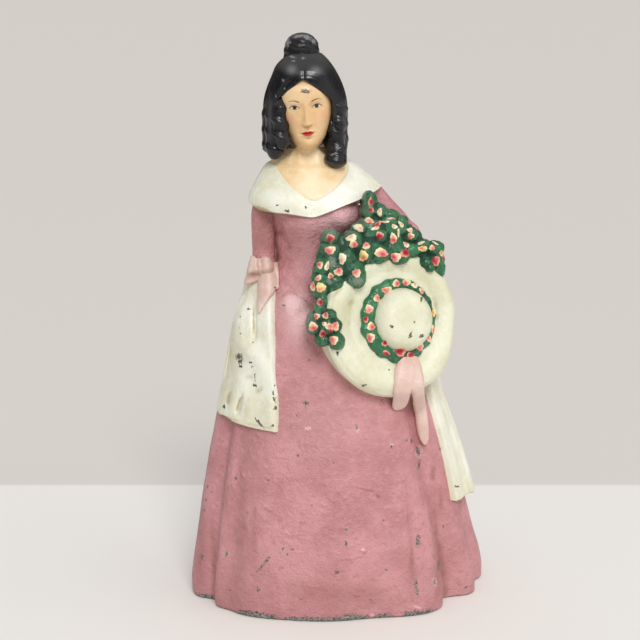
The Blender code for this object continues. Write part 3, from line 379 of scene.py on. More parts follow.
def enamel(
    name, main, thin, thick, dirt_and_shade, bloom_and_highlight="#ece6da", iron=("#43413d", "#827d75"), roughness=0.42,
    brush=(1, 1, 1), grain=0.16, chips=0.5, specular=0.5,
):
    """Brushed oil enamel on a sand casting: a skin a few tenths of a millimetre thick that has run thin on
    the high spots and thick in the hollows, with soft gloss, chips down to iron, dust in the creases and
    painted shade there, and a pale tone laid as painted highlights, glints and a rubbed bloom.
    brush stretches its streaks, grain is the height of the casting's skin, and chips their number."""
    material, tree, shader = new_material(name, IOR=1.5, Specular_IOR_Level=specular)
    place = add(tree, "TexCoord", out="Object")
    stretched = add(tree, "Mapping", {"Vector": place, "Scale": brush})
    # Clouds about 22 mm wide, brush streaks about 2.5 mm, the casting's grain, about 0.9 mm, pits between
    # the streaks, and the ragged edges of chips, about 1 mm
    clouds, streaks, sand, pits, torn = (
        add(tree, "TexNoise", {"Vector": vector, "Scale": 1 / (size * MM), "Detail": detail, **more})
        for vector, size, detail, more in (
            (place, 22, 3, {"Roughness": 0.55}),
            (stretched, 2.5, 3, {"Distortion": 0.6}),
            (place, 0.9, 2, {}),
            (stretched, 3.4, 5, {"Roughness": 0.62}),
            (place, 1.0, 4, {"Roughness": 0.65}),
        )
    )
    smooth = {"interpolation_type": "SMOOTHSTEP"}
    # The marks kept with the points: wear, dust with painted shade, a bloom with painted glints, and painted
    # highlights
    marks, painted_highlight = add(tree, "Attribute", out=("Color", "Alpha"), attribute_name="age")
    wear, grime_and_shade, bloom_and_glint = add(tree, "SeparateColor", {0: marks}, (0, 1, 2))
    # Dust, and painted shade, in the hollows and creases, broken up by the brush streaks
    streaky_grime_and_shade = add(tree, "Math", (streaks, 0.55, grime_and_shade), operation="MULTIPLY_ADD")
    settled_dirt_and_shade = add(tree, "MapRange", (streaky_grime_and_shade, 0.30, 1.15, 0.0, 0.85), **smooth)
    ragged = add(tree, "MapRange", (torn, 0.32, 0.68, 0.12, 0.88), **smooth)
    rubbed_bloom_and_glint = add(tree, "Math", (bloom_and_glint, ragged), operation="SUBTRACT")
    # Small chips that lie anywhere, in a few cells of a 7 mm pattern
    cells = {"Vector": place, "Scale": 1 / (7 * MM)}
    cell, off_middle = add(tree, "TexVoronoi", cells, ("Color", "Distance"))
    cell = add(tree, "SeparateColor", {0: cell})
    share = 1 - 0.3 * chips
    picked = add(tree, "MapRange", (cell, share - 0.001, share + 0.001), **smooth)
    near = add(tree, "MapRange", (off_middle, 0.05, 0.16, 0.62, 0.0), **smooth)
    knocks = add(tree, "Math", (picked, near), operation="MULTIPLY")
    for operation, other in (("MAXIMUM", wear), ("SUBTRACT", ragged)):
        knocks = add(tree, "Math", (knocks, other), operation=operation)
    bare = add(tree, "MapRange", (knocks, 0.00, 0.05), **smooth)
    sandy = add(tree, "MapRange", (sand, 0.35, 0.65), **smooth)
    iron_skin = add(tree, "Mix", {0: sandy, 6: linear(iron[0]), 7: linear(iron[1])}, 2, data_type="RGBA")
    # The layers of colour: what each follows, where it sets in and is full, its cover there, and its tone
    colour = linear(thin)
    for pattern, *span, tone in (
        (clouds, 0.36, 0.64, 0, 1, main),
        (streaks, 0.45, 0.78, 0, 0.4, thick),
        (sand, 0.30, 0.44, 0.16, 0, thin),
        (pits, 0.30, 0.46, min(1.0, 1.6 * grain), 0, thin),
        # painted highlight: a smooth pale coat where the light would shine
        (painted_highlight, bloom_and_highlight),
        # dust, and painted shade in hollows, creases and under edges
        (settled_dirt_and_shade, dirt_and_shade),
        # rubbed bloom, and painted glints, ragged at the edge
        (rubbed_bloom_and_glint, -0.2, 0.25, 0, 0.62, bloom_and_highlight),
        (knocks, -0.08, 0, 0, 0.35, dirt_and_shade),
        (bare, iron_skin),
    ):
        cover = add(tree, "MapRange", (pattern, *span), **smooth) if span else pattern
        laid = linear(tone) if isinstance(tone, str) else tone
        colour = add(tree, "Mix", {0: cover, 6: colour, 7: laid}, 2, data_type="RGBA")
    skin = 0.0
    for pattern, height in ((sand, grain), (streaks, 0.9 * grain), (pits, 2.2 * grain), (bare, -0.16)):
        skin = add(tree, "Math", (pattern, height, skin), operation="MULTIPLY_ADD")
    rough = add(tree, "MapRange", (streaks, 0.3, 0.7, roughness - 0.07, roughness + 0.1), **smooth)
    for operation, other in (("ADD", settled_dirt_and_shade), ("MINIMUM", 0.75)):
        rough = add(tree, "Math", (rough, other), operation=operation)
    for title, value in (
        ("Base Color", colour),
        ("Metallic", add(tree, "MapRange", (bare, 0.0, 1.0, 0.0, 0.35), **smooth)),
        ("Roughness", rough),
        ("Normal", add(tree, "Bump", {"Height": skin, "Strength": 1.0, "Distance": 1.0 * MM})),
    ):
        tree.links.new(value, shader.inputs[title])
    return material


# Grey iron as it left the sand, oxidised to a dull brown black: inside the castings and under the rim
raw_iron, tree, shader = new_material("oxidised_cast_iron", Metallic=0.35, Roughness=0.68)
place = add(tree, "TexCoord", out="Object")
rust = add(tree, "TexNoise", {"Vector": place, "Scale": 1 / (9 * MM), "Detail": 5.0, "Roughness": 0.65})
sand_skin = add(tree, "TexNoise", {"Vector": place, "Scale": 1 / (1.1 * MM), "Detail": 2.0})
rust_share = add(tree, "MapRange", (rust, 0.42, 0.66))
rusty = add(tree, "Mix", {0: rust_share, 6: linear("#3d3e3c"), 7: linear("#5a4335")}, 2, data_type="RGBA")
sand_bump = add(tree, "Bump", {"Height": sand_skin, "Strength": 1.0, "Distance": 0.25 * MM})
tree.links.new(rusty, shader.inputs["Base Color"])
tree.links.new(sand_bump, shader.inputs["Normal"])

pink_enamel = enamel(
    "brushed_pink_oil_enamel", **SKIRT_PINK, iron=IRON_IN_PINK, roughness=0.37, brush=(0.75, 0.75, 1),
    grain=0.55,
)
ACROSS_DRESS, DOWN_DRESS = 200, 196
painted = []  # every painted piece, for the wear and dirt at the end


def dress_wall(name, first_angle, side):
    """Half of the dress, from the parting plane round to the parting plane, with its inner wall."""

    def height(v):
        row = np.round(v * DOWN_DRESS).astype(int)
        low = np.array(HEM_ROWS)[np.minimum(row, len(HEM_ROWS) - 1)]
        past = (row - len(HEM_ROWS) + 1) / (DOWN_DRESS - len(HEM_ROWS) + 1)
        return np.where(row < len(HEM_ROWS), low, HEM_ROWS[-1] + (DRESS_TOP - HEM_ROWS[-1]) * past)

    def held(x, y, z):
        return x, np.minimum(y, SEAM_Y[-1]) if side < 0 else np.maximum(y, SEAM_Y[1]), np.maximum(z, 0)

    def place(u, v):
        return dress_point(first_angle + 180 * u, height(v))

    wall = shaped_grid(name, ACROSS_DRESS, DOWN_DRESS, place)
    face_away(wall, (WAIST_X, PARTING_Y, 90))
    lumpy(wall, 9, CAST_LUMPS)
    outer = points_of(wall)
    u, v = grid_shares(ACROSS_DRESS, DOWN_DRESS)
    apply_modifier(wall, "SOLIDIFY", thickness=IRON_WALL * MM, offset=-1)
    angle, z = first_angle + 180 * u, height(v)
    inner = oval(dress_section(z), angle, z, IRON_WALL + pleat_depth(angle, z))
    both = np.vstack([outer, np.stack(inner, axis=1)])
    move_points(wall, np.stack(held(*both.T), axis=1))
    return wall


front_wall = dress_wall("dress_front", 0.0, -1)
rear_wall = dress_wall("dress_rear", 180.0, 1)
for node in SCREWS:
    x, z, seat = screw_seat(node)
    drill_middle = Vector((x, seat + DRILL_LENGTH / 2 - DRILL_PAST_SEAT, z)) * MM
    bpy.ops.mesh.primitive_cylinder_add(
        vertices=48, radius=RECESS_RADIUS * MM, depth=DRILL_LENGTH * MM, location=drill_middle,
        rotation=(math.pi / 2, 0, 0),
    )
    drill = bpy.context.object
    apply_modifier(rear_wall, "BOOLEAN", object=drill, operation="DIFFERENCE", solver="MANIFOLD")
    bpy.data.objects.remove(drill)
for wall, casting in ((front_wall, "front_casting"), (rear_wall, "rear_casting")):
    wall.data.materials.clear()
    wall.data.materials.append(pink_enamel)
    wall.data.materials.append(raw_iron)
    centres = np.array([face.center for face in wall.data.polygons]) / MM
    normals = np.array([face.normal for face in wall.data.polygons])
    middle, half_width, front, rear = dress_section(centres[:, 2])
    from_middle = centres[:, :2] - np.stack([middle, 0 * middle + PARTING_Y], axis=1)
    depth = np.where(centres[:, 1] < PARTING_Y, front, rear)
    reach = np.hypot(from_middle[:, 0] / half_width, from_middle[:, 1] / depth)
    under = centres[:, 2] < 0.2
    inside = ((from_middle * normals[:, :2]).sum(axis=1) < 0) & (reach < 0.97)
    wall.data.polygons.foreach_set("material_index", (inside | under).astype(np.int32))
    work_on(wall)
    bpy.ops.object.shade_smooth_by_angle(angle=math.radians(50))
    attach(wall, "root")
    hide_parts(casting)
    painted.append(wall)

# Posts, pads and pins inside the castings, in bare iron. Two round posts in each half meet at the parting
# plane: the rear ones are drilled for the screws and the front ones tapped. Two short pins at the hem,
# cast on the front half, drop into sockets in the rear half and line the halves up.
POST_RADIUS = 6.4
TAPPED_DEPTH = 10.5
SCREW_HOLE_RADIUS = SCREW_RADIUS + 0.3
PIN_Z, PIN_RADIUS, PIN_LENGTH, PIN_PAD_RADIUS = 24.0, 2.2, 3.0, 4.2
PAD_DEPTH = 3.4
BOSS_EDGE = 0.4  # the width of the soft edge round a boss and at the bottom of its bore


def boss(name, x, z, start, end, radius, neck_radius, neck_end):
    """A round boss from y start to end. Its end is then drawn in to neck_radius and on to neck_end, which is
    a bore where that lies back inside the boss, and a pin where it lies beyond."""
    facing = 1 if end > start else -1
    bpy.ops.object.select_all(action="DESELECT")
    bpy.ops.mesh.primitive_cylinder_add(
        vertices=64, radius=radius * MM, depth=abs(end - start) * MM,
        location=(x * MM, (start + end) / 2 * MM, z * MM), rotation=(math.pi / 2, 0, 0),
    )
    piece = bpy.context.object
    piece.name = piece.data.name = name
    bpy.ops.object.transform_apply(location=True, rotation=True, scale=True)
    bpy.ops.object.mode_set(mode="EDIT")
    bpy.ops.mesh.select_mode(type="FACE")
    bpy.ops.mesh.select_all(action="DESELECT")
    bpy.ops.object.mode_set(mode="OBJECT")
    for face in piece.data.polygons:
        face.select = face.normal.y * facing > 0.9
    bpy.ops.object.mode_set(mode="EDIT")
    bpy.ops.mesh.inset(thickness=BOSS_EDGE * MM, depth=0)
    bpy.ops.mesh.inset(thickness=(radius - neck_radius - BOSS_EDGE) * MM, depth=0)
    bpy.ops.mesh.extrude_region_move(TRANSFORM_OT_translate={"value": (0, (neck_end - end) * MM, 0)})
    bpy.ops.mesh.inset(thickness=BOSS_EDGE * MM, depth=0)
    bpy.ops.object.mode_set(mode="OBJECT")
    return piece


def dress_wall_y(x, z, side, inset):
    """y of the dress's wall at x and z, on the front for side -1 and on the rear for side 1."""
    middle, half_width, front, rear = (float(value) for value in dress_section(np.array(z)))
    share = min(abs(x - middle) / half_width, 1)
    return PARTING_Y + side * ((front if side < 0 else rear) - inset) * math.sqrt(1 - share**2)


inner_iron = {"front_casting": [], "rear_casting": []}


def join_as(name, pieces):
    work_on(pieces[0])
    for piece in pieces:
        piece.select_set(True)
    bpy.ops.object.join()
    joined = bpy.context.object
    joined.name = joined.data.name = name
    return joined


for node in SCREWS:
    x, z, seat = screw_seat(node)
    root = dress_wall_y(x, z, -1, IRON_WALL - 1.5)
    front_post = boss(
        "tapped_post", x, z, root, SEAM_Y[-1], POST_RADIUS, SCREW_HOLE_RADIUS, SEAM_Y[-1] - TAPPED_DEPTH
    )
    rear_post = boss("drilled_post", x, z, seat, SEAM_Y[1], POST_RADIUS, SCREW_HOLE_RADIUS, seat - 0.4)
    inner_iron["front_casting"].append(front_post)
    inner_iron["rear_casting"].append(rear_post)
pin_middle, pin_half_width, _, _ = (float(value) for value in dress_section(np.array(PIN_Z)))
pleat_room = float(max(pleat_depth(0.0, PIN_Z), pleat_depth(180.0, PIN_Z)))
pin_out = pin_half_width - IRON_WALL - pleat_room - 1.0
for side in (-1, 1):
    x = pin_middle + side * pin_out
    pin = boss(
        "register_pin", x, PIN_Z, PARTING_Y - PAD_DEPTH, SEAM_Y[-1], PIN_PAD_RADIUS, PIN_RADIUS,
        PARTING_Y + PIN_LENGTH,
    )
    socket = boss(
        "pin_socket", x, PIN_Z, PARTING_Y + PAD_DEPTH, SEAM_Y[1], PIN_PAD_RADIUS, PIN_RADIUS + 0.3,
        PARTING_Y + PIN_LENGTH + 0.3,
    )
    inner_iron["front_casting"].append(pin)
    inner_iron["rear_casting"].append(socket)
for casting, bosses in inner_iron.items():
    iron = join_as(casting.replace("_casting", "_posts"), bosses)
    bpy.ops.object.shade_smooth_by_angle(angle=math.radians(40))
    iron.data.materials.append(raw_iron)
    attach(iron, "root")
    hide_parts(casting)

# The screws: two slotted round-head machine screws of zinc-plated steel, turned in from behind. Their
# shape is the imported one, and only the finish is made here: dull plate, tarnished in patches, with fine
# turning marks.
screw_steel, tree, shader = new_material("dull_zinc_plated_steel", Metallic=1.0)
place = add(tree, "TexCoord", out="Object")
tarnish = add(tree, "TexNoise", {"Vector": place, "Scale": 1 / (1.6 * MM), "Detail": 5.0, "Roughness": 0.65})
# The marks of the tool run round the screw, about 0.2 mm apart along it
turned = add(tree, "Mapping", {"Vector": place, "Scale": (1.0, 14.0, 1.0)})
tool_marks = add(tree, "TexNoise", {"Vector": turned, "Scale": 1 / (3 * MM), "Detail": 2.0})
tarnished = add(tree, "MapRange", (tarnish, 0.4, 0.62))
steel = add(tree, "Mix", {0: tarnished, 6: linear("#9a9a94"), 7: linear("#5f564b")}, 2, data_type="RGBA")
steel_rough = add(tree, "MapRange", (tarnish, 0, 1, 0.32, 0.62))
steel_bump = add(tree, "Bump", {"Height": tool_marks, "Strength": 1.0, "Distance": 0.05 * MM})
for title, value in (("Base Color", steel), ("Roughness", steel_rough), ("Normal", steel_bump)):
    tree.links.new(value, shader.inputs[title])
for node in SCREWS:
    for material_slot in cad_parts[node].material_slots:
        material_slot.material = screw_steel

# Neck and chest: the flesh that shows over the collar, part of both castings. It is poured with the rest
# and brushed with a warm flesh enamel, painted paler on the neck and chest as light where they face up,
# and a little darker in the hollows as painted shade.
SHOULDERS = (
    # height, middle, half width, front depth, rear depth
    (196, -11, 31.1, 24, 18),
    (205, -11, 32.6, 25, 19),
    (212, -12, 29, 21.5, 17.7),
    (219, -13.4, 23.6, 17, 15.2),
    (224, -14.8, 17.4, 13.8, 12.8),
    (229, -16.4, 11.4, 11.4, 10.8),
    (235, -17, 9.6, 10, 9.6),
    (249.5, -17, 9.6, 9.6, 9.6),
)
NECK_X = -17.0
NECK_TOP = 240.0
CHEST_LOW = 203.6
FLESH = {"main": "#e8c698", "thin": "#dcb27f", "thick": "#f0d5ad", "dirt_and_shade": "#7d5836"}
WELD_GAP = 0.002
CHEST_FORMS = (
    # across from the neck's middle, height, how proud or, below 0, how deep, half width and half height
    (0, 221.5, -0.5, 3.4, 3),
    (8.5, 220, 0.7, 6.5, 1.5),
    (-8.5, 220, 0.7, 6.5, 1.5),
    (9, 216.5, -0.5, 6, 2),
    (-9, 216.5, -0.5, 6, 2),
    (4.6, 227.5, 0.6, 1.5, 6),
    (-4.6, 227.5, 0.6, 1.5, 6),
)


def weld(piece):
    """Closes a grid's seam and poles, and turns its faces outwards."""
    work_on(piece)
    bpy.ops.object.mode_set(mode="EDIT")
    bpy.ops.mesh.select_all(action="SELECT")
    bpy.ops.mesh.remove_doubles(threshold=WELD_GAP * MM)
    bpy.ops.mesh.normals_make_consistent(inside=False)
    bpy.ops.object.mode_set(mode="OBJECT")
    return piece


def parted(piece):
    """Saws a piece along the parting plane, as its pattern was, closes the sawn faces, and gives each half
    that there is with its casting."""
    halves = []
    for end, side in (("front", -1), ("rear", 1)):
        half = piece.copy()
        half.data = piece.data.copy()
        bpy.context.scene.collection.objects.link(half)
        work_on(half)
        half.name = half.data.name = f"{piece.name}_{end}"
        bpy.ops.object.mode_set(mode="EDIT")
        bpy.ops.mesh.select_all(action="SELECT")
        bpy.ops.mesh.bisect(
            plane_co=(0, SEAM_Y[side] * MM, 0), plane_no=(0, 1, 0), use_fill=True,
            clear_outer=side < 0, clear_inner=side > 0,
        )
        bpy.ops.object.mode_set(mode="OBJECT")
        if len(half.data.vertices):
            halves.append((half, end + "_casting"))
        else:
            bpy.data.objects.remove(half)
    bpy.data.objects.remove(piece)
    return halves


def finish(piece, material, casting, smooth_angle=60):
    """Paints a piece and makes it part of its casting."""
    piece.data.materials.clear()
    piece.data.materials.append(material)
    work_on(piece)
    bpy.ops.object.shade_smooth_by_angle(angle=math.radians(smooth_angle))
    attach(piece, "root")
    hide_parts(casting)
    painted.append(piece)


def cast_in_halves(piece, material, smooth_angle=60):
    """Saws a piece, and paints each half as part of its own casting."""
    for half, casting in parted(piece):
        finish(half, material, casting, smooth_angle)


def off_poles(v):
    """0 at both ends of a grid, which each close to a point, and 1 between them."""
    return np.where((v < 1e-4) | (v > 1 - 1e-4), 0.0, 1.0)


def chest_point(u, v):
    angle, z = 360 * u, CHEST_LOW + (NECK_TOP - CHEST_LOW) * v
    draw_in = 4.0 * (smooth_step(0.0, 0.04, v) * smooth_step(0.0, 0.04, 1 - v) - 1)
    x, y, _ = oval(along(SHOULDERS, z), angle, z)
    beside = smooth_step(12, 19, np.abs(x - NECK_X)) * (1 - smooth_step(207, 213, z))
    proud = draw_in - 5 * beside
    for across, height, rise, half_width, half_height in CHEST_FORMS:
        spread = ((x - NECK_X - across) / half_width) ** 2 + ((z - height) / half_height) ** 2
        proud = proud + np.where(y < PARTING_Y, rise * np.exp(-spread), 0)
    closed = off_poles(v)
    x, y, z = oval(along(SHOULDERS, z), angle, z, -proud)
    return NECK_X + (x - NECK_X) * closed, PARTING_Y + (y - PARTING_Y) * closed, z


# A paler copy of the face's flesh enamel: painted light where the chest faces up
CHEST_FLESH_PAINTED_LIT = {"main": "#f2dcb6", "thin": "#e6c48f", "thick": "#f8e9cc", "dirt_and_shade": "#a87c4c"}
lit_chest_enamel = enamel("thin_flesh_oil_enamel", **CHEST_FLESH_PAINTED_LIT, roughness=0.45, grain=0.10, chips=0.1)
chest = weld(shaped_grid("chest", 200, 100, chest_point))
cast_in_halves(chest, lit_chest_enamel)

# The collar: a broad bertha that lies round the shoulders, cast in one with them. Its lower edge stands
# 3 mm off the dress and is rounded under, and it is painted a warm white, with painted shade along its lower
# edge.
NECKLINE_TURN = 101.0  # degrees round, the point of the V
NECKLINE_SPREAD = 58.0
NECKLINE_POINT_Z, NECKLINE_SIDE_Z = 205.5, 222.0
COLLAR_LOW = 199.2
COLLAR_LIFT = 11.0  # how far the raised left arm lifts the lower edge
COLLAR_STAND = 3.4
SHOULDER_HALF_WIDTH = 32.6
# Its chalk tone is also laid as a painted highlight on the collar's right.
CREAM = {"main": "#ecebdb", "thin": "#dcd8bc", "thick": "#f7f7f0", "dirt_and_shade": "#a08d5c", "bloom_and_highlight": "#fafaf6"}
cream_enamel = enamel("warm_white_oil_enamel", **CREAM, roughness=0.4, grain=0.15, chips=0.1)


def collar_point(u, v):
    """v goes down the outer face to 0.7, round the lower edge to 0.8 and up again inside the metal."""
    angle = 360 * u
    turned = np.abs((angle - NECKLINE_TURN + 180) % 360 - 180)
    spread = np.where(angle > NECKLINE_TURN, NECKLINE_SPREAD, 1.35 * NECKLINE_SPREAD)
    rise = smooth_step(-0.35, 1.0, turned / spread) * 1.15 - 0.15
    top = NECKLINE_POINT_Z + (NECKLINE_SIDE_Z - NECKLINE_POINT_Z) * np.clip(rise * 1.08 - 0.08, 0, 1)
    widest = oval(along(SHOULDERS, np.full_like(u, 205.0)), angle, 0)[0]
    low = COLLAR_LOW + COLLAR_LIFT * np.clip((widest - NECK_X) / (SHOULDER_HALF_WIDTH + 6), 0, 1)
    low = low + 3.2 * bump(angle - 180, 22) - 1.6 * bump(angle - NECKLINE_TURN, 16)
    down = np.interp(v, [0, 0.03, 0.68, 0.74, 0.80, 1.0], [0, 0.01, 0.95, 1.0, 0.97, 0])
    at, stood = (0, 0.03, 0.25, 0.60, 0.70, 0.76, 0.82, 1.0), (0.2, 0.7, 1.2, 2.8, 3.3, 2.4, -0.5, -2.5)
    stand = np.interp(v, at, stood)
    ripple = 0.35 * np.sin(np.radians(angle * 5)) * down * smooth_step(0.1, 0.5, down)
    z = top + (low - top) * down
    stand = stand - 2.0 * bump(angle - 180, 35) * down
    return oval(along(SHOULDERS, z), angle, z, -(stand * COLLAR_STAND / 3.1 + ripple))


collar = weld(shaped_grid("collar", 240, 64, collar_point))
lumpy(collar, 7, 0.3)
cast_in_halves(collar, cream_enamel)

# Sleeves: close-fitting and pink, cast against the bodice. The figure's right arm hangs to the elbow,
# where the stole and bow cover it, and the left arm is bent forward behind the flowers to hold the hat.
RIGHT_ARM = (
    # x, y, z and radius along the arm
    (-34.5, 4.5, 205, 6.6),
    (-37.6, 4, 197, 6.4),
    (-38.4, 3, 186, 5.7),
    (-38.6, 1.8, 176, 5.4),
    (-38.4, 0.5, 168, 5.4),
)
LEFT_ARM = (
    (13.5, 5, 208, 7),
    (20.5, 4.5, 200, 6.8),
    (30, 3.2, 190, 6.4),
    (36.6, 1.6, 182, 6.4),
    (34, -5, 178, 6),
    (22, -15, 176, 5.6),
    (12, -18, 176, 5.2),
)


LIMB_SIDES, LIMB_STEPS = 72, 110


def rounded(share):
    """A quarter round: 0 at a share of 0, and 1 from a share of 1 on."""
    return np.sqrt(np.clip(1 - (1 - np.clip(share, 0, 1)) ** 2, 0, 1))


def limb(name, rows, fold=0.35, folds_at=0.8):
    """A round sleeve along a smooth line, closed at both ends, with soft folds across the elbow."""
    keyed = [(i, *row) for i, row in enumerate(rows)]
    shares = np.linspace(0, len(rows) - 1, LIMB_STEPS + 1)
    line = along(keyed, shares)
    middle, radius = line[:3].T, line[3]
    ahead = np.gradient(middle, axis=0)
    ahead /= np.linalg.norm(ahead, axis=1)[:, None]
    side = np.cross(ahead, (0.0, 1.0, 0.05))
    side /= np.linalg.norm(side, axis=1)[:, None]
    top = np.cross(side, ahead)

    def place(u, v):
        row = np.round(v * LIMB_STEPS).astype(int)
        turn = 2 * math.pi * u
        wrinkle = fold * np.sin(v * 46 + 1.3 * np.sin(turn)) * bump(v - folds_at, 0.16)
        reach = (radius[row] + wrinkle) * rounded(np.minimum(v, 1 - v) * LIMB_STEPS / 6)
        spoke = side[row] * np.cos(turn)[:, None] + top[row] * np.sin(turn)[:, None]
        return (middle[row] + spoke * reach[:, None]).T

    return weld(shaped_grid(name, LIMB_SIDES, LIMB_STEPS, place))


right_sleeve = limb("right_sleeve", RIGHT_ARM, fold=0.08)
left_sleeve = limb("left_sleeve", LEFT_ARM, folds_at=0.45)
lumpy(right_sleeve, 6, 0.3)
lumpy(left_sleeve, 6, 0.3)
for piece in (right_sleeve, left_sleeve):
    cast_in_halves(piece, pink_enamel)

# The face: small, calm and regular, cast with the head and painted. It has no model: eyes half way up
# the head, brow and nose base at the thirds, brushed brows, lashes and lips. Flesh enamel, a little glossy.
HEAD_X, HEAD_Z = -17.5, 249.5
HEAD_TURN = math.radians(-10.0)  # towards the figure's right
FACE_LEAN = 0.085  # the face leans a little towards the figure's right shoulder, its chin to the left
SKULL = (
    # height from the middle of the head, half width, forward and rear depth
    (-20.2, 2.6, 9.6, 1),
    (-19, 5.2, 12.6, 2),
    (-16.5, 7.6, 14, 3.5),
    (-13, 9.7, 14.5, 4.5),
    (-9, 11.4, 14.9, 5.5),
    (-4, 12.8, 15.3, 6),
    (1, 13.4, 15.5, 6),
    (6, 13.4, 16, 6),
    (10, 12.9, 15.2, 5.5),
    (13, 11.8, 13, 5),
    (16, 9.6, 9.6, 4),
    (18.5, 5, 5.4, 2),
)
EYE_ACROSS, EYE_UP, EYE_HALF_WIDTH = 5.4, 0.6, 2.5
BROW_UP, NOSE_BASE, MOUTH_UP, MOUTH_HALF_WIDTH = 3.3, -8.1, -11.7, 3.1
FACE_FORMS = (
    # across, up, how proud, half width and half height; those off the middle are on both sides
    (5.2, 2.9, 0.40, 3.4, 1),
    (5.4, 0.9, -1.25, 3, 1.9),
    (5.5, 0.6, 0.75, 2.3, 1.15),
    (2.3, 1.4, -0.45, 1, 1.8),
    (1.7, -7.2, 0.85, 0.85, 0.8),
    (7.2, -5.2, 0.75, 3.4, 3.2),
    (4, -9.8, -0.35, 1, 2.2),
    (3.4, -11.8, -0.35, 0.8, 0.8),
    (0, -9.9, -0.25, 0.55, 1.1),
    (0, -10.9, 0.75, 2.5, 0.55),
    (0, -11.75, -0.60, 3, 0.28),
    (0, -12.6, 0.85, 1.9, 0.65),
    (0, -14.3, -0.70, 2.6, 0.9),
    (0, -17, 0.90, 2.9, 1.7),
    (11.5, 6, -0.5, 2.5, 3.5),
)
FACE_PAINT = {"line": "#2b1d18", "lips": "#c2372f", "white": "#efe6d3", "iris": "#4a3023", "blush": "#d98f6c"}


def head_place(right, forward, up):
    """From the head's own directions, turned with the head, to the object's."""
    sine, cosine = math.sin(HEAD_TURN), math.cos(HEAD_TURN)
    return HEAD_X + cosine * right + sine * forward, sine * right - cosine * forward, HEAD_Z + up


def spot(right, up, at_right, at_up, half_width, half_height):
    return np.exp(-(((right - at_right) / half_width) ** 2) - ((up - at_up) / half_height) ** 2)


def face_relief(right, up):
    relief = 0.0
    for across, height, proud, half_width, half_height in FACE_FORMS:
        for side in (-1, 1) if across else (1,):
            relief = relief + proud * spot(right, up, side * across, height, half_width, half_height)
    # The nose: a ridge that widens and rises from the brow to the tip, and is cut in below it
    down = np.clip((2.6 - up) / (2.6 - NOSE_BASE), 0, 1.2)
    ridge = bump(right, 1.0 + 0.75 * down) * (0.5 + 2.5 * down**1.5)
    return relief + ridge * smooth_step(3.4, 1.6, up) * smooth_step(NOSE_BASE - 0.5, NOSE_BASE + 0.7, up)


def face_round(u):
    """Degrees round the head from straight ahead: most of the columns are on the face."""
    return np.interp(u, [0, 0.09, 0.91, 1], [-180, -82, 82, 180])


def skull_up(v):
    return SKULL[0][0] + (SKULL[-1][0] - SKULL[0][0]) * v


def face_point(u, v):
    up = skull_up(v)
    half_width, front, rear = along(SKULL, up)
    turn = np.radians(face_round(u))
    right, ahead = np.sin(turn), np.cos(turn)
    forward = np.where(ahead > 0, front * np.abs(ahead) ** 0.86, rear * ahead)
    right = half_width * right
    forward = forward + np.where(ahead > 0, face_relief(right, up), 0)
    closed = off_poles(v)
    leant = right * closed - FACE_LEAN * (up + 3)
    return head_place(leant, forward * closed + (1 - closed) * 3.0, up + FACE_LEAN * right * closed)


def painted_features(right, up):
    """Colour and cover of the brushwork on the face, at each point."""
    colour = np.zeros((len(right), 3))
    cover = np.zeros(len(right))

    def lay(paint, amount):
        nonlocal colour, cover
        amount = np.clip(amount, 0, 1)
        colour = colour * (1 - amount[:, None]) + np.array(linear(FACE_PAINT[paint])[:3]) * amount[:, None]
        cover = np.maximum(cover, amount)

    soft = 0.13

    def within(away, half_width):
        return smooth_step(half_width + soft, half_width - soft, np.abs(away))

    for side in (-1, 1):
        across = side * right - EYE_ACROSS
        share = across / EYE_HALF_WIDTH
        upper = EYE_UP + 1.15 * (1 - share**2) + 0.18 * share
        lower = EYE_UP - 0.62 * (1 - share**2) + 0.10 * share
        inside = smooth_step(-soft, soft, upper - up) * smooth_step(-soft, soft, up - lower)
        inside = inside * (np.abs(share) < 1)
        lay("white", inside * 0.8)
        off_pupil = np.hypot(across + 0.1, up - EYE_UP - 0.25)
        lay("iris", inside * within(off_pupil, 1.0))
        lay("line", inside * within(off_pupil, 0.5))
        lay("line", within(up - upper, 0.26) * smooth_step(1.12, 0.98, np.abs(share)))
        lay("line", 0.45 * within(up - lower, 0.12) * smooth_step(1.0, 0.8, np.abs(share)))
        reach = (side * right - 2.9) / 5.4
        arch = BROW_UP + 0.95 * np.sin(np.clip(reach, 0, 1) * math.pi * 0.85)
        width = 0.34 * (1 - 0.75 * np.clip(reach, 0, 1))
        brow = within(up - arch, width) * smooth_step(-0.03, 0.04, reach)
        lay("line", 0.9 * brow * smooth_step(1.02, 0.95, reach))
    share = np.clip(np.abs(right) / MOUTH_HALF_WIDTH, 0, 1)
    bow = 1.15 * (1 - share**1.8) * (1 - 0.30 * bump(right, 0.55))
    full = 1.35 * (1 - share**2.2)
    lips = smooth_step(-soft, soft, MOUTH_UP + bow - up) * smooth_step(-soft, soft, up - MOUTH_UP + full)
    lay("lips", lips * smooth_step(1.0, 0.93, share))
    lay("line", 0.45 * within(up - MOUTH_UP, 0.08) * smooth_step(1.0, 0.85, share))
    blush = 0.0
    for side in (-1, 1):
        blush = blush + 0.30 * spot(right, up, side * 7.4, -5.0, 3.0, 2.6)
    return colour, cover, blush


def keep_colours(piece, name, columns):
    """Keeps red, green, blue and alpha with a piece's points."""
    layer = piece.data.color_attributes.new(name, "FLOAT_COLOR", "POINT")
    layer.data.foreach_set("color", np.column_stack(columns).astype(np.float32).ravel())


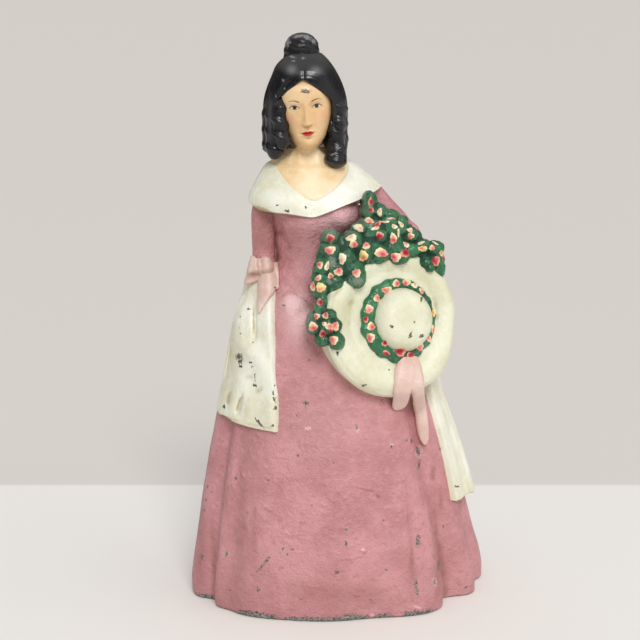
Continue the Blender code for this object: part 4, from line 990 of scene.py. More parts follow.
FACE_COLUMNS, FACE_ROWS = 250, 205
face = shaped_grid("face", FACE_COLUMNS, FACE_ROWS, face_point)
face_u, face_v = grid_shares(FACE_COLUMNS, FACE_ROWS)
face_up = skull_up(face_v)
face_turn = np.radians(face_round(face_u))
face_right = along(SKULL, face_up)[0] * np.sin(face_turn)
colour, cover, blush = painted_features(face_right, face_up)
in_front = np.cos(face_turn) > 0.15
keep_colours(face, "brushwork", [colour, cover * in_front])
warmth = face.data.attributes.new("warmth", "FLOAT", "POINT")
warmth.data.foreach_set("value", (blush * in_front).astype(np.float32))
weld(face)


def brushed_over(material, name="brushwork", cover="Alpha", tone=None):
    """Lays a piece's own brushwork, kept with its points, over an enamel, or one tone by a share kept so."""
    tree = material.node_tree
    base = tree.nodes["Principled BSDF"].inputs["Base Color"]
    share, paint = add(tree, "Attribute", out=(cover, "Color"), attribute_name=name)
    laid = {0: share, 6: base.links[0].from_socket, 7: linear(tone) if tone else paint}
    tree.links.new(add(tree, "Mix", laid, 2, data_type="RGBA"), base)


face_enamel = enamel("flesh_oil_enamel_with_brushed_features", **FLESH, roughness=0.4, grain=0.05, chips=0.05)
brushed_over(face_enamel, "warmth", "Fac", FACE_PAINT["blush"])
brushed_over(face_enamel)
finish(face, face_enamel, "front_casting")

# The hair: smooth over the skull from a middle parting, with a thick rolled edge round the face, a knot
# on top and ringlets at the sides and back. It is cast with the head and painted gloss black, which shows
# a grey sheen on every swell, with painted highlights on the two swells beside the parting and down both
# sides and a few painted glints, and has rubbed through to a whitish bloom on top of the knot.
HAIR_HALF_WIDTH, HAIR_FRONT, HAIR_REAR, HAIR_SET_BACK = 20.8, 18.5, 19.0, 4.0
HAIR_TOP, HAIR_LOW = 26.0, -20.0
HAIR_FORM = (
    # height, then shares of the half width, front depth and rear depth
    (-20, 0.93, 0.80, 0.88),
    (-11, 0.98, 0.86, 0.95),
    (-4, 1.00, 0.92, 1.00),
    (3.9, 0.97, 0.98, 1.00),
    (10.9, 0.87, 1.04, 0.95),
    (17.4, 0.71, 0.97, 0.80),
    (22.6, 0.52, 0.72, 0.60),
    (26, 0.36, 0.45, 0.42),
)
HAIR_OPENING = (
    # height, then half width of the face that shows
    (-30, 7.5),
    (-20, 8.6),
    (-16, 9.6),
    (-10, 11.2),
    (-3, 12.4),
    (1.5, 12.6),
    (4.4, 11.9),
    (7.6, 8),
    (10.8, 4),
    (13.6, 0.4),
    (15, -2),
    (17, -5),
)
# The grey chalk tone is laid as painted highlights on the hair's swells and sides, and as the bloom on the
# knot.
HAIR_BLACK = {"main": "#0f0f12", "thin": "#1b1b1f", "thick": "#09090b", "dirt_and_shade": "#3b3a3a", "bloom_and_highlight": "#8f9193"}
STRAND = 1.5  # spacing of the combed grooves
black_enamel = enamel(
    "gloss_black_oil_enamel", **HAIR_BLACK, roughness=0.25, brush=(1, 1, 0.4), grain=0.05, chips=0.10,
    specular=0.42,
)


def hair_point(u, v):
    up = HAIR_LOW + (HAIR_TOP - HAIR_LOW) * v
    wide, front, rear = along(HAIR_FORM, up)
    turn = 2 * math.pi * u
    ahead = np.sin(turn) > 0
    right = wide * HAIR_HALF_WIDTH * np.cos(turn)
    reach = np.where(ahead, front * HAIR_FRONT, rear * HAIR_REAR)
    forward = reach * np.sin(turn) - HAIR_SET_BACK
    # Combed grooves run along the rolled edge in front, and down from the knot behind
    round_face = np.hypot(right / 13, (up + 3) / 17) * 15
    facing = smooth_step(-0.1, 0.5, np.sin(turn))
    across = round_face * facing + np.degrees(turn) * 0.33 * (1 - facing)
    swell = 0.03 * np.sin(2 * math.pi * across / STRAND + 0.8 * np.sin(up * 0.31)) * smooth_step(-0.4, 0.2, v)
    swell = swell + 0.10 * np.sin(2 * math.pi * across / 4.6 + 0.6)
    for middle, height in ((-10.3, 2.3), (7.8, 1.3)):
        swell = swell + height * spot(right, up, middle, 18.8, 4.5, 5.0) * ahead
    swell = swell - 0.35 * bump(right + 1.2, 0.8) * smooth_step(12, 16, up) * ahead
    grown = 1 + swell / 18
    right, forward = right * grown, forward * grown
    # Inside the opening the surface is sunk behind the face
    open_half = along(HAIR_OPENING, up)[0]
    inside = smooth_step(-0.9, 0.7, open_half - np.abs(right + FACE_LEAN * (up + 3))) * ahead
    skull_half, skull_front, _ = along(SKULL, np.clip(up, -19.5, 19.5))
    behind = skull_front * np.clip(1 - (right / skull_half) ** 2, 0, 1) ** 0.43 - 2.4
    behind = np.where(up < -15, np.minimum(behind, 2.0 + 0 * up), behind)
    forward = forward + (np.minimum(behind, forward) - forward) * inside
    closed = off_poles(v)
    return head_place(right * closed, forward * closed - HAIR_SET_BACK * (1 - closed), up)


hair = weld(shaped_grid("hair", 400, 150, hair_point))
cast_in_halves(hair, black_enamel)

KNOT_FORM = (
    # height, middle and radius
    (263.5, -17.4, 9.3),
    (267, -17.5, 9.7),
    (270, -17.7, 9.4),
    (274, -17.9, 8.95),
    (278.5, -18, 8.35),
    (281.2, -18, 7.4),
    (282.9, -18, 5.9),
    (284.3, -17.9, 3.6),
    (285, -17.9, 1),
)


def knot_point(u, v):
    z = KNOT_FORM[0][0] + (KNOT_FORM[-1][0] - KNOT_FORM[0][0]) * np.clip(v, 0, 1) ** 0.8
    turn = 2 * math.pi * u
    coil = 0.10 * np.sin(2 * math.pi * z / 3.4 + 2 * turn) + 0.07 * np.sin(9 * turn + z)
    closed = off_poles(v)
    middle, radius = along(KNOT_FORM, z)
    radius = (radius + coil * smooth_step(285, 282, z)) * closed
    # Its front is flatter and nearly upright
    shallow = np.where(np.sin(turn) < 0, 0.13 * smooth_step(281, 267, z), 0.0)
    return middle + radius * np.cos(turn), PARTING_Y + radius * np.sin(turn) * (0.97 - shallow), z


knot = weld(shaped_grid("hair_knot", 150, 70, knot_point))
cast_in_halves(knot, black_enamel)

RINGLET_TWIST = 7.5  # height of one turn
SIDE_RINGLETS = (
    # x, y and z of the top, then of the bottom, radius, ridge, and how far the lowest curl swells
    (-34, 4, 257, -34.6, 3.4, 226.6, 4, 0.03, 0),
    (-33.2, -2.5, 257, -33.6, -3.6, 224.2, 4.4, 0.04, 0),
    (-33, -6, 256, -30.4, -8.2, 229.5, 4, 0.08, 0),
    (-0.9, 4.5, 257, -0.4, 4, 225.5, 4.2, 0.03, 0),
    (-2, -2, 256, -1, -3.5, 226, 4.2, 0.035, 0),
    (-2.4, -6.2, 256, -2.6, -7.6, 236, 3.9, 0.10, 0),
    (-3.4, -8, 243.5, -4, -8.2, 219.6, 3.9, 0.05, 0.42),
)
BACK_RINGLETS = 5


def ringlet(x0, y0, z0, x1, y1, z1, radius, ridge, curl):
    """A corkscrew curl: a round lock whose thickest line winds down it, with fine strands along the wind."""

    def place(u, v):
        z = z0 + (z1 - z0) * v
        turn = 2 * math.pi * u
        wound = 2 * math.pi * (z0 - z) / RINGLET_TWIST
        full = 0.86 + 0.20 * np.sin(math.pi * np.clip(0.2 + 0.65 * v, 0, 1))
        full = full + curl * bump(v - 0.80, 0.17)
        ends = rounded((1 - v) / 0.16) * smooth_step(-0.12, 0.30, v) * np.where(v < 1e-4, 0, 1)
        wave = ridge * np.cos(turn - wound) + 0.3 * ridge * np.cos(2 * (turn - wound))
        wave = wave + 0.005 * np.cos(7 * (turn - wound))
        reach = radius * full * (1 + wave) * ends
        sway = ridge * radius * v
        tucked = 3.0 * (1 - smooth_step(0, 0.35, v)) * np.sign(HEAD_X - x0)
        x = x0 + (x1 - x0) * v + tucked + sway * np.cos(wound) + reach * np.cos(turn)
        return x, y0 + (y1 - y0) * v + sway * np.sin(wound) + reach * np.sin(turn), z

    return weld(shaped_grid("ringlet", 64, 110, place))


locks = {"front_casting": [], "rear_casting": []}
for row in SIDE_RINGLETS:
    for half, casting in parted(ringlet(*row)):
        locks[casting].append(half)
for i in range(BACK_RINGLETS):
    across = (i - (BACK_RINGLETS - 1) / 2) / 2
    x = HEAD_X + 0.66 * HAIR_HALF_WIDTH * across
    y = HAIR_SET_BACK + 0.72 * HAIR_REAR - 4.0 * across**2
    locks["rear_casting"].append(ringlet(x, y, 254.0, x, y, 223.5, 3.9, 0.13, 0.1))
for casting, pieces in locks.items():
    joined = join_as(casting.replace("_casting", "_ringlets"), pieces)
    finish(joined, black_enamel, casting)

# The stole: a wide cream band that hangs behind the figure's waist from the bow on the right arm to the
# left arm, with a long end down each side of the skirt. It is relief on the casting, about 3 mm proud.
STOLE_RIGHT_END = (
    # height, angle round the dress at the rear and front edge, and how proud each edge is
    (97, 194, 124, 0.6, 3),
    (118.5, 193, 126, 0.5, 3),
    (135.8, 192, 131, 3.4, 3),
    (151.6, 191, 139, 6.4, 3.2),
    (165, 190, 150, 10.6, 4),
    (172.5, 186, 158, 12, 5),
)
STOLE_LEFT_END = (
    (49.5, 8, 36.5, 6.6, 3),
    (81.3, 0, 33, 6.4, 3),
    (100.8, -8, 31.5, 6.4, 3),
    (119.1, -14, 31, 10, 5),
    (145.9, -18, 37, 19, 8),
    (174, -18, 43, 31, 10),
)
RIGHT_FOLDS = (
    # share across at the top and at the bottom, depth at the top and at the bottom, half width
    (0.30, 0.24, 0.3, 0.5, 0.08),
)
LEFT_FOLDS = (
    (0.40, 0.40, 0.6, 1.5, 0.08),
    (0.72, 0.70, 0.4, 0.3, 0.07),
)
RIGHT_HEM = ((0, 1), (0.25, -1.2), (0.45, -0.4), (0.62, -1.8), (0.80, -2.6), (1, -3.4))
LEFT_HEM = ((0, -1.5), (0.2, -2.5), (0.40, 2), (0.56, 0.6), (0.75, -0.2), (1, 0))
STOLE_DEEP = IRON_WALL / 2  # how far the stole's back lies inside the dress
STOLE_ACROSS, STOLE_DOWN = 180, 150


def stole_end(name, rows, folds, hem):
    bottom, top = rows[0][0], rows[-1][0]

    def place(u, v):
        in_front = u < 0.5
        share = np.where(in_front, 2 * u, 2 - 2 * u)
        height = bottom + (top - bottom) * v
        rear_angle, front_angle, rear_lift, front_lift = along(rows, height)
        drop = along(hem, share)[0] * (1 - v) ** 2
        angle = rear_angle + (front_angle - rear_angle) * share
        lift = rear_lift + (front_lift - rear_lift) * share
        for top_share, low_share, top_deep, low_deep, half_width in folds:
            at = low_share + (top_share - low_share) * v
            deep = low_deep + (top_deep - low_deep) * v
            away = np.abs(share - at) / half_width
            lift = lift - deep * bump(away, 1.0) + 0.35 * deep * bump(away - 1.9, 0.8)
        rim = np.minimum(np.minimum(share, 1 - share) / 0.035, v / 0.012)
        lift = (lift + STOLE_DEEP) * rounded(rim) - STOLE_DEEP
        lift = np.where(in_front, lift, -STOLE_DEEP)
        x, y, z = oval(dress_section(height + drop), angle, height + drop, -lift)
        ends = off_poles(v) == 0
        inward = (rear_angle + front_angle) / 2
        inner_x, inner_y, _ = oval(dress_section(height + drop), inward, z, STOLE_DEEP)
        return np.where(ends, inner_x, x), np.where(ends, inner_y, y), np.where(ends, height, z)

    return weld(shaped_grid(name, STOLE_ACROSS, STOLE_DOWN, place))


def stole_band_point(u, v):
    """The band behind: it sags in the middle, stands off the dress and has two long folds."""
    turn = 2 * math.pi * v
    sag = np.sin(math.pi * u)
    half_height = 5.0 + 6.0 * sag
    middle = 166.0 - 22.0 * sag
    z = middle + half_height * np.sin(turn)
    outer = np.cos(turn)
    lift = 2.5 + 4.0 * (1 - sag) + 2.5 * outer
    lift = lift + np.where(outer > 0, np.cos(5 * math.pi * (np.sin(turn) + 1) / 2) * 0.9 * outer, 0)
    z = middle + (z - middle) * rounded(np.minimum(u, 1 - u) / 0.02)
    return oval(dress_section(z), 188 + 158 * u, z, -lift)


right_end = stole_end("stole_right_end", STOLE_RIGHT_END, RIGHT_FOLDS, RIGHT_HEM)
left_end = stole_end("stole_left_end", STOLE_LEFT_END, LEFT_FOLDS, LEFT_HEM)
for piece in (right_end, left_end):
    lumpy(piece, 9, 0.5)
    cast_in_halves(piece, cream_enamel)
band = weld(shaped_grid("stole_band", 220, 90, stole_band_point))
lumpy(band, 9, 0.5)
cast_in_halves(band, cream_enamel)

# The bow on the right arm: two loops, a knot and three tails in one lump of relief over the end of the
# sleeve and the top of the stole, painted a dusty pink. Rows are where its edges are in the picture.
BOW_FORMS = (
    # how proud, then rows of down, left edge, right edge
    (4.2, (255.5, 250.8, 254.5), (260, 249.4, 258), (265, 248.2, 259.4), (270, 247.4, 260),
     (274, 248, 258)),
    (4.4, (256.5, 262, 268.5), (259, 261.4, 271.6), (264, 261.2, 274), (269, 261.2, 274),
     (274, 262.4, 270)),
    (5, (258, 256.8, 261.5), (264, 256.4, 262.8), (270, 257.4, 264), (274.5, 259.4, 263)),
    (2.8, (268, 247.6, 260), (274, 246.8, 262), (279, 245.4, 260), (282, 244.2, 255), (284.6, 243.6, 248)),
    (3, (270, 260, 274), (276, 258.4, 277), (283, 257.6, 278), (290, 257.4, 275.8), (297.5, 257, 271),
     (305, 256.6, 265.2), (310.5, 257, 261.8), (314, 258, 260)),
    (1.7, (262, 272, 277.6), (270, 272, 278.8), (280, 273, 279.4), (286, 274, 279), (289.6, 275.4, 278)),
    (1.1, (276, 263.5, 266.5), (283, 263, 266.6), (292, 261.4, 265), (300, 259.4, 262.6),
     (306, 258.4, 260.8)),
)
PALE_PINK = {"main": "#e3c7ba", "thin": "#d4b0a1", "thick": "#f0ddd2", "dirt_and_shade": "#94705a"}
pale_pink_enamel = enamel("dusty_pink_oil_enamel", **PALE_PINK, grain=0.14, chips=0.3)
FOCAL = LENS / SENSOR * PICTURE_SIDE
PX_PER_MM = FOCAL / (CAMERA_DISTANCE / MM)
CENTRE = PICTURE_SIDE / 2
RELIEF_SIDES = 24
picture_right = Vector((0, 0, 1)).cross(camera_back).normalized()
picture_up = camera_back.cross(picture_right)
camera_place = (CAMERA_AIM + camera_back * CAMERA_DISTANCE) / MM


def sight_line(across, down):
    """The direction from the camera to a point of the picture."""
    toward = picture_right * (across - CENTRE) + picture_up * (CENTRE - down) - camera_back * FOCAL
    return toward.normalized()


def at_depth(across, down, y):
    toward = sight_line(across, down)
    return camera_place + toward * ((y - camera_place.y) / toward.y)


def seen(across, down, pieces):
    """How far off, in mm, the nearest of some pieces is at a point of the picture."""
    hits = [piece.ray_cast(camera_place * MM, sight_line(across, down)) for piece in pieces]
    return min([(place / MM - camera_place).length for hit, place, _, _ in hits if hit], default=math.inf)


def ball(middle, sizes, detail=3):
    at = [value * MM for value in middle]
    bpy.ops.mesh.primitive_ico_sphere_add(subdivisions=detail, radius=MM, location=at)
    lump = bpy.context.object
    lump.scale = sizes
    bpy.ops.object.transform_apply(location=True, rotation=True, scale=True)
    return lump


def relief(name, rows, proud, pieces, steps=56, drape=3, sunk=2.0):
    """Relief that lies on some pieces: rows are down, left edge and right edge in the picture."""
    shares = np.linspace(0, 1, steps + 1)
    down = rows[0][0] + (rows[-1][0] - rows[0][0]) * shares
    left, right = along(rows, down)
    spread = np.linspace(0, 1, RELIEF_SIDES + 1)
    depth = np.array([
        [seen(low + (high - low) * share, at, pieces) for share in spread]
        for at, low, high in zip(down, left, right)
    ])
    depth = np.where(np.isfinite(depth), depth, np.median(depth[np.isfinite(depth)]))
    # It bridges hollows and steps: the nearest depth round about, evened out
    window = range(2 * drape + 1)
    for even in (np.min, np.mean, np.mean):
        padded = np.pad(depth, drape, mode="edge")
        shifted = [padded[i : i + steps + 1, j : j + RELIEF_SIDES + 1] for i in window for j in window]
        depth = even(shifted, axis=0)

    def place(u, v):
        row = np.round(v * steps).astype(int)
        share = 1 - np.abs(2 * u - 1)
        domed = np.sqrt(np.clip(1 - np.abs(2 * share - 1) ** 2.4, 0, 1))
        swell = proud * rounded(np.minimum(v, 1 - v) / 0.12) * domed
        column = np.round(share * RELIEF_SIDES).astype(int)
        distance = depth[row, column] + np.where(u < 0.5, -swell, np.where(u > 0.999, 0.0, sunk))
        spots = []
        for r, part, away, closed in zip(row, share, distance, off_poles(v) == 0):
            part = 0.5 if closed else part
            away = depth[r, RELIEF_SIDES // 2] + 0.5 * sunk if closed else away
            spots.append(camera_place + sight_line(left[r] + (right[r] - left[r]) * part, down[r]) * away)
        return np.array(spots).T

    return weld(shaped_grid(name, 2 * RELIEF_SIDES, steps, place))


def fused(name, lumps, voxel, smoothing):
    """Joins lumps into one skin, as modelled in the pattern's wax."""
    piece = join_as(name, lumps)
    apply_modifier(piece, "REMESH", mode="VOXEL", voxel_size=voxel * MM)
    apply_modifier(piece, "SMOOTH", factor=0.5, iterations=smoothing)
    return piece


def named(*names):
    return [bpy.data.objects[name] for name in names]


under_bow = named("right_sleeve_front", "stole_right_end_front", "dress_front")
lumps = [relief("bow_part", rows, proud, under_bow) for proud, *rows in BOW_FORMS]
bow = fused("bow", lumps, 0.3, 4)
lumpy(bow, 3, 0.3)
cast_in_halves(bow, pale_pink_enamel)

# The webs of iron between the arms and the bodice, so that the arms cast soundly: one fills the bend of
# the left arm, behind the flowers, and one closes the slit beside the right sleeve. Painted with the dress.
ARM_WEBS = (
    # middle, half sizes and turn in radians
    ((16.5, 5, 184), (20, 4.3, 16.5), 0.35),
    ((-30.5, 6.5, 184), (4.2, 5.5, 25), 0),
)
for number, (middle, sizes, turn) in enumerate(ARM_WEBS):
    web = ball(middle, sizes, 5)
    work_on(web)
    bpy.ops.transform.rotate(value=turn, orient_axis="Y", center_override=[value * MM for value in middle])
    bpy.ops.object.transform_apply(location=True, rotation=True, scale=True)
    lumpy(web, 7, 0.5)
    web.name = f"arm_web_{number + 1}"
    cast_in_halves(web, pink_enamel)

# The hat, held by its brim against the skirt: a wide brim with a rolled, wavy edge and a round crown,
# facing outwards and a little to the figure's left. Behind it the iron runs solid into the skirt.
HAT_X, HAT_Z = 19.5, 147.5
HAT_Y = float(oval(dress_section(HAT_Z), 90.0, HAT_Z)[1]) - 3.5
HAT_SWING, HAT_LEAN = math.radians(15.0), math.radians(-13.0)
BRIM_RADIUS, BRIM_THICKNESS, BRIM_ROLL, BRIM_WAVE = 36.5, 4.0, 2.0, 1.6
CROWN_RADIUS, CROWN_RISE, CROWN_ACROSS, CROWN_UP = 16.0, 15.0, 3.6, -1.2
BRIM_REACH = (
    # angle on the hat from the figure's left, anticlockwise, and share of the brim's radius
    (0, 0.96),
    (27, 1),
    (62, 0.99),
    (110, 0.97),
    (150, 1.02),
    (190, 1.04),
    (240, 1.055),
    (290, 1.055),
    (307, 1.06),
    (330, 0.98),
    (349, 0.94),
    (360, 0.96),
)
hat_place = (
    Matrix.Translation((HAT_X, HAT_Y, HAT_Z))
    @ Matrix.Rotation(HAT_SWING, 4, "Z")
    @ Matrix.Rotation(HAT_LEAN, 4, "X")
    @ Matrix.Rotation(math.radians(90), 4, "X")
)


def on_hat(across, up, proud):
    """From the hat's own directions to the object's."""
    matrix = np.array(hat_place)
    spots = np.stack(np.broadcast_arrays(across, up, proud, 1.0))
    return tuple((matrix @ spots.reshape(4, -1))[:3].reshape(3, *spots.shape[1:]))


def brim_height(turn, radius):
    out = np.clip((radius - CROWN_RADIUS) / (BRIM_RADIUS - CROWN_RADIUS), 0, 1.1)
    roll = BRIM_ROLL * np.sin(math.pi * np.clip((out - 0.35) / 0.65, 0, 1)) ** 2
    wave = BRIM_WAVE * np.cos(2 * turn + 0.6) * out**2
    return BRIM_THICKNESS + roll + wave - 1.6 * np.clip(out - 0.86, 0, 1) / 0.14


def brim_point(u, v):
    turn = 2 * math.pi * u
    reach = along(BRIM_REACH, np.degrees(turn))[0] * BRIM_RADIUS
    # v: 0 to 0.6 over the face, to 0.68 round the edge, to 1 over the back
    share = np.interp(v, [0, 0.60, 0.64, 0.68, 0.86, 1.0], [0.0, 0.985, 1.0, 0.985, 0.88, 0.0])
    radius = share * reach
    face = brim_height(turn, share * BRIM_RADIUS)
    edge = brim_height(turn, BRIM_RADIUS)
    back = np.interp(v, [0.60, 0.64, 0.68, 0.74, 0.86, 1.0], [0, -1.6, -3.4, -7, -26, -26]) + edge
    proud = np.where(v <= 0.6, face, np.where(v < 0.74, back, back - edge * smooth_step(0.74, 0.86, v)))
    return on_hat(radius * np.cos(turn), radius * np.sin(turn), proud)


def crown_point(u, v):
    turn = 2 * math.pi * u
    rise = np.sin(v * math.pi / 2)
    radius = CROWN_RADIUS * np.cos(v * math.pi / 2) ** 0.55
    return on_hat(
        CROWN_ACROSS + radius * np.cos(turn),
        CROWN_UP + radius * np.sin(turn),
        BRIM_THICKNESS - 2 + (CROWN_RISE - 2) * rise,
    )


straw_enamel = enamel(
    "straw_white_oil_enamel", main="#e3e2c8", thin="#d6d3b0", thick="#f0efdf", dirt_and_shade="#9a8a58",
    roughness=0.4, grain=0.12, chips=0.3,
)
brim = weld(shaped_grid("hat_brim", 300, 150, brim_point))
crown = weld(shaped_grid("hat_crown", 160, 70, crown_point))
for piece in (brim, crown):
    lumpy(piece, 7, 0.4)
    finish(piece, straw_enamel, "front_casting")

# The wreath round the crown: a low ring of leaves, lumpy and dark green, thicker on the side of the bow.
WREATH_RADIUS, WREATH_HALF_WIDTH, WREATH_RISE, WREATH_LEAVES = 17.4, 3.2, 2.6, 17
WREATH_ACROSS, WREATH_UP = 2.4, -0.6
# Its dark green dirt tone is the painted shade in the crevices between the leaves.
GREEN = {"main": "#2e6f46", "thin": "#1c4e33", "thick": "#66a67c", "dirt_and_shade": "#14372a", "bloom_and_highlight": "#8d9389"}
green_enamel = enamel("gloss_green_oil_enamel", **GREEN, roughness=0.24, brush=(1, 1, 0.6), chips=0.3)


def wreath_point(u, v):
    turn, round_it = 2 * math.pi * u, 2 * math.pi * v
    leaf = 1 + 0.09 * np.cos(WREATH_LEAVES * turn) + 0.07 * np.cos(11 * turn + 1)
    half_width = WREATH_HALF_WIDTH * (1.0 - 0.30 * np.cos(turn - 0.5)) * leaf
    radius = WREATH_RADIUS + half_width * np.cos(round_it)
    proud = BRIM_THICKNESS + 0.2 + WREATH_RISE * leaf * np.sin(round_it)
    return on_hat(WREATH_ACROSS + radius * np.cos(turn), WREATH_UP + radius * np.sin(turn), proud)


wreath = weld(shaped_grid("hat_wreath", 420, 24, wreath_point))
lumpy(wreath, 2.2, 0.7)
finish(wreath, green_enamel, "front_casting")

# The ribbons below the hat: two flat tails from the wreath down over the brim and onto the skirt, in the
# same dusty pink. Rows are where their edges are in the picture.
RIBBON_FORMS = (
    # how proud, then rows of down, left edge, right edge
    (1.9, (355, 399.5, 414), (359.3, 398, 415), (367.5, 395.4, 416), (380, 393.9, 415), (390, 393.5, 412),
     (397.5, 393.1, 409.6), (402.8, 392.4, 408), (407.5, 392.4, 404.8), (410.6, 394.6, 399.6)),
    (1.9, (355, 402, 417), (359.3, 402, 419), (367.5, 402.6, 422), (380, 405, 424.3), (389, 408.4, 424.4),
     (394, 411.9, 424.7), (405, 413, 425.8), (412.5, 414.5, 426.9), (420, 415.3, 428),
     (427.5, 416.4, 428.8), (435, 417.9, 429.1), (440, 419.8, 428.6), (443.5, 422.4, 427.6),
     (445.6, 424.2, 426)),
)
under_hat = named("hat_brim", "stole_left_end_front", "dress_front")
for number, (proud, *rows) in enumerate(RIBBON_FORMS):
    tail = relief(f"hat_ribbon_{number + 1}", rows, proud, under_hat, steps=90, drape=9, sunk=4.0)
    lumpy(tail, 4, 0.3)
    finish(tail, pale_pink_enamel, "front_casting")

# The flowers over the left arm: one mass of leaves and blooms, fused with the arm, the hat and the skirt,
# first painted green all over. It runs from the shoulder down to the hat and trails down the skirt.
FLOWER_MASS = (
    # across, back and up from the hat's middle, half width and half height
    (-9.2, 9.7, 57.5, 3.4, 4.6),
    (-8.5, 9.7, 52.5, 5.5, 6),
    (-1, 5.7, 43.5, 8.5, 7),
    (-10.5, 3.7, 43, 8.5, 7),
    (7.5, 10.7, 40.5, 7, 6),
    (13.5, 13.7, 37, 6, 5.5),
    (0.5, 4.7, 34.5, 8, 5.5),
    (11.5, 8.7, 32.5, 6, 4.5),
    (-12.5, 0.7, 33.5, 8.5, 7),
    (-23.5, -0.3, 36.5, 8, 6.5),
    (-30, 0.7, 39.5, 5.6, 5.5),
    (-31, -2.3, 31.5, 7, 6.5),
    (-22.5, -3.3, 27, 8.5, 6),
    (-20, -5.3, 22, 5.5, 4.5),
    (-34.4, -3.3, 24.5, 5.6, 6.5),
    (-31.5, -4.3, 19.5, 6.5, 6),
    (-36.8, -4.3, 17, 4.2, 5),
    (-35.4, -5.3, 9.5, 2.9, 5),
    (-38.5, -7.3, 2, 5.6, 6.5),
    (-33.5, -8.3, -4, 6.5, 6.5),
    (-28.5, -8.3, -6.5, 4.8, 5),
    (17.5, 12.7, 30.5, 5, 5),
    (22.5, 12.7, 25, 6.5, 7.5),
    (26, 13.7, 21, 5.2, 5),
)
FLOWER_HALF_DEPTH = 7.5
LEAF_PROUD = 4.6
LEAVES = (
    # where each tuft is in the picture: across and down, and its half width and half height
    (369.5, 199.5, 7.1, 9), (368, 209.5, 6.4, 10.3), (379.5, 211, 7.7, 7.7), (390, 214.5, 9, 5.1),
    (400.5, 221, 7.7, 6.4), (372, 225, 7.7, 6.4), (379.5, 235.5, 7.7, 7.7), (394, 239, 7.7, 7.7),
    (399, 227.5, 7.7, 9), (387.5, 221, 10.3, 5.8), (392.5, 243.5, 6.4, 3.9), (358.5, 228, 7.7, 5.8),
    (351.5, 240.5, 10.3, 10.3), (330, 236.5, 7.7, 7.7), (330, 249.5, 11, 7.7), (345, 257, 10.3, 9),
    (334.5, 270, 10.3, 10.3), (334.5, 281.5, 9, 7.7), (356.5, 276.5, 9.6, 11.6), (364.5, 252, 9, 11.6),
    (377, 253.5, 12.9, 10.3), (397.5, 257, 11.6, 7.7), (407, 252, 6.4, 7.7), (410.5, 234, 7.7, 7.7),
    (422, 245.5, 10.3, 6.4), (434, 248, 10.3, 7.7), (433.5, 260, 11.5, 9.2), (437.5, 267, 8, 8.5),
    (426.5, 262.5, 8, 6), (441.5, 272.5, 3.4, 4), (430, 268, 5, 4.2), (321, 267.5, 7.4, 9),
    (320, 279, 8.4, 7.7), (319.5, 289.5, 8.2, 7.7), (322.3, 299.5, 5.2, 7.7), (320, 308.5, 5.8, 6.4),
    (313, 326, 7.1, 8.4), (320, 315.5, 6.4, 6.4), (330, 314.5, 6.4, 5.8), (336, 325.5, 5.8, 7.1),
    (322, 339.5, 7.1, 7.7), (336.5, 341, 8.4, 9), (327, 325.5, 9, 9),
)


def flower_depth(x, z):
    """How far back the middle of the mass of flowers is at a place."""
    rows = np.array(FLOWER_MASS)
    nearness = np.exp(-((rows[:, 0] + HAT_X - x) ** 2 + (rows[:, 2] + HAT_Z - z) ** 2) / 2 / 6.0**2) + 1e-9
    return HAT_Y + float((nearness * rows[:, 1]).sum() / nearness.sum())


under_flowers = named(
    "hat_brim", "dress_front", "collar_front", "left_sleeve_front", "left_sleeve_rear", "arm_web_1_front"
)
lumps = []
for across, back, up, half_x, half_z in FLOWER_MASS:
    middle = (HAT_X + across, HAT_Y + back, HAT_Z + up)
    lumps.append(ball(middle, (half_x, FLOWER_HALF_DEPTH - 1.5, half_z)))
for across, down, half_across, half_down in LEAVES:
    half_x, half_z = half_across / PX_PER_MM, half_down / PX_PER_MM
    half_y = 0.5 * (half_x + half_z) + 0.8
    middle = at_depth(across, down, HAT_Y)
    for _ in range(4):
        middle = at_depth(across, down, flower_depth(middle.x, middle.z) - FLOWER_HALF_DEPTH + half_y - 0.5)
    # On the hat or the dress a tuft stands at least this far out of it
    away = min((middle - camera_place).length, seen(across, down, under_flowers) + half_y - LEAF_PROUD)
    lumps.append(ball(camera_place + sight_line(across, down) * away, (half_x, half_y, half_z)))
foliage = fused("flower_leaves", lumps, 0.55, 3)
lumpy(foliage, 3.4, 1.0)
lumpy(foliage, 1.4, 0.25)
cast_in_halves(foliage, green_enamel, 80)

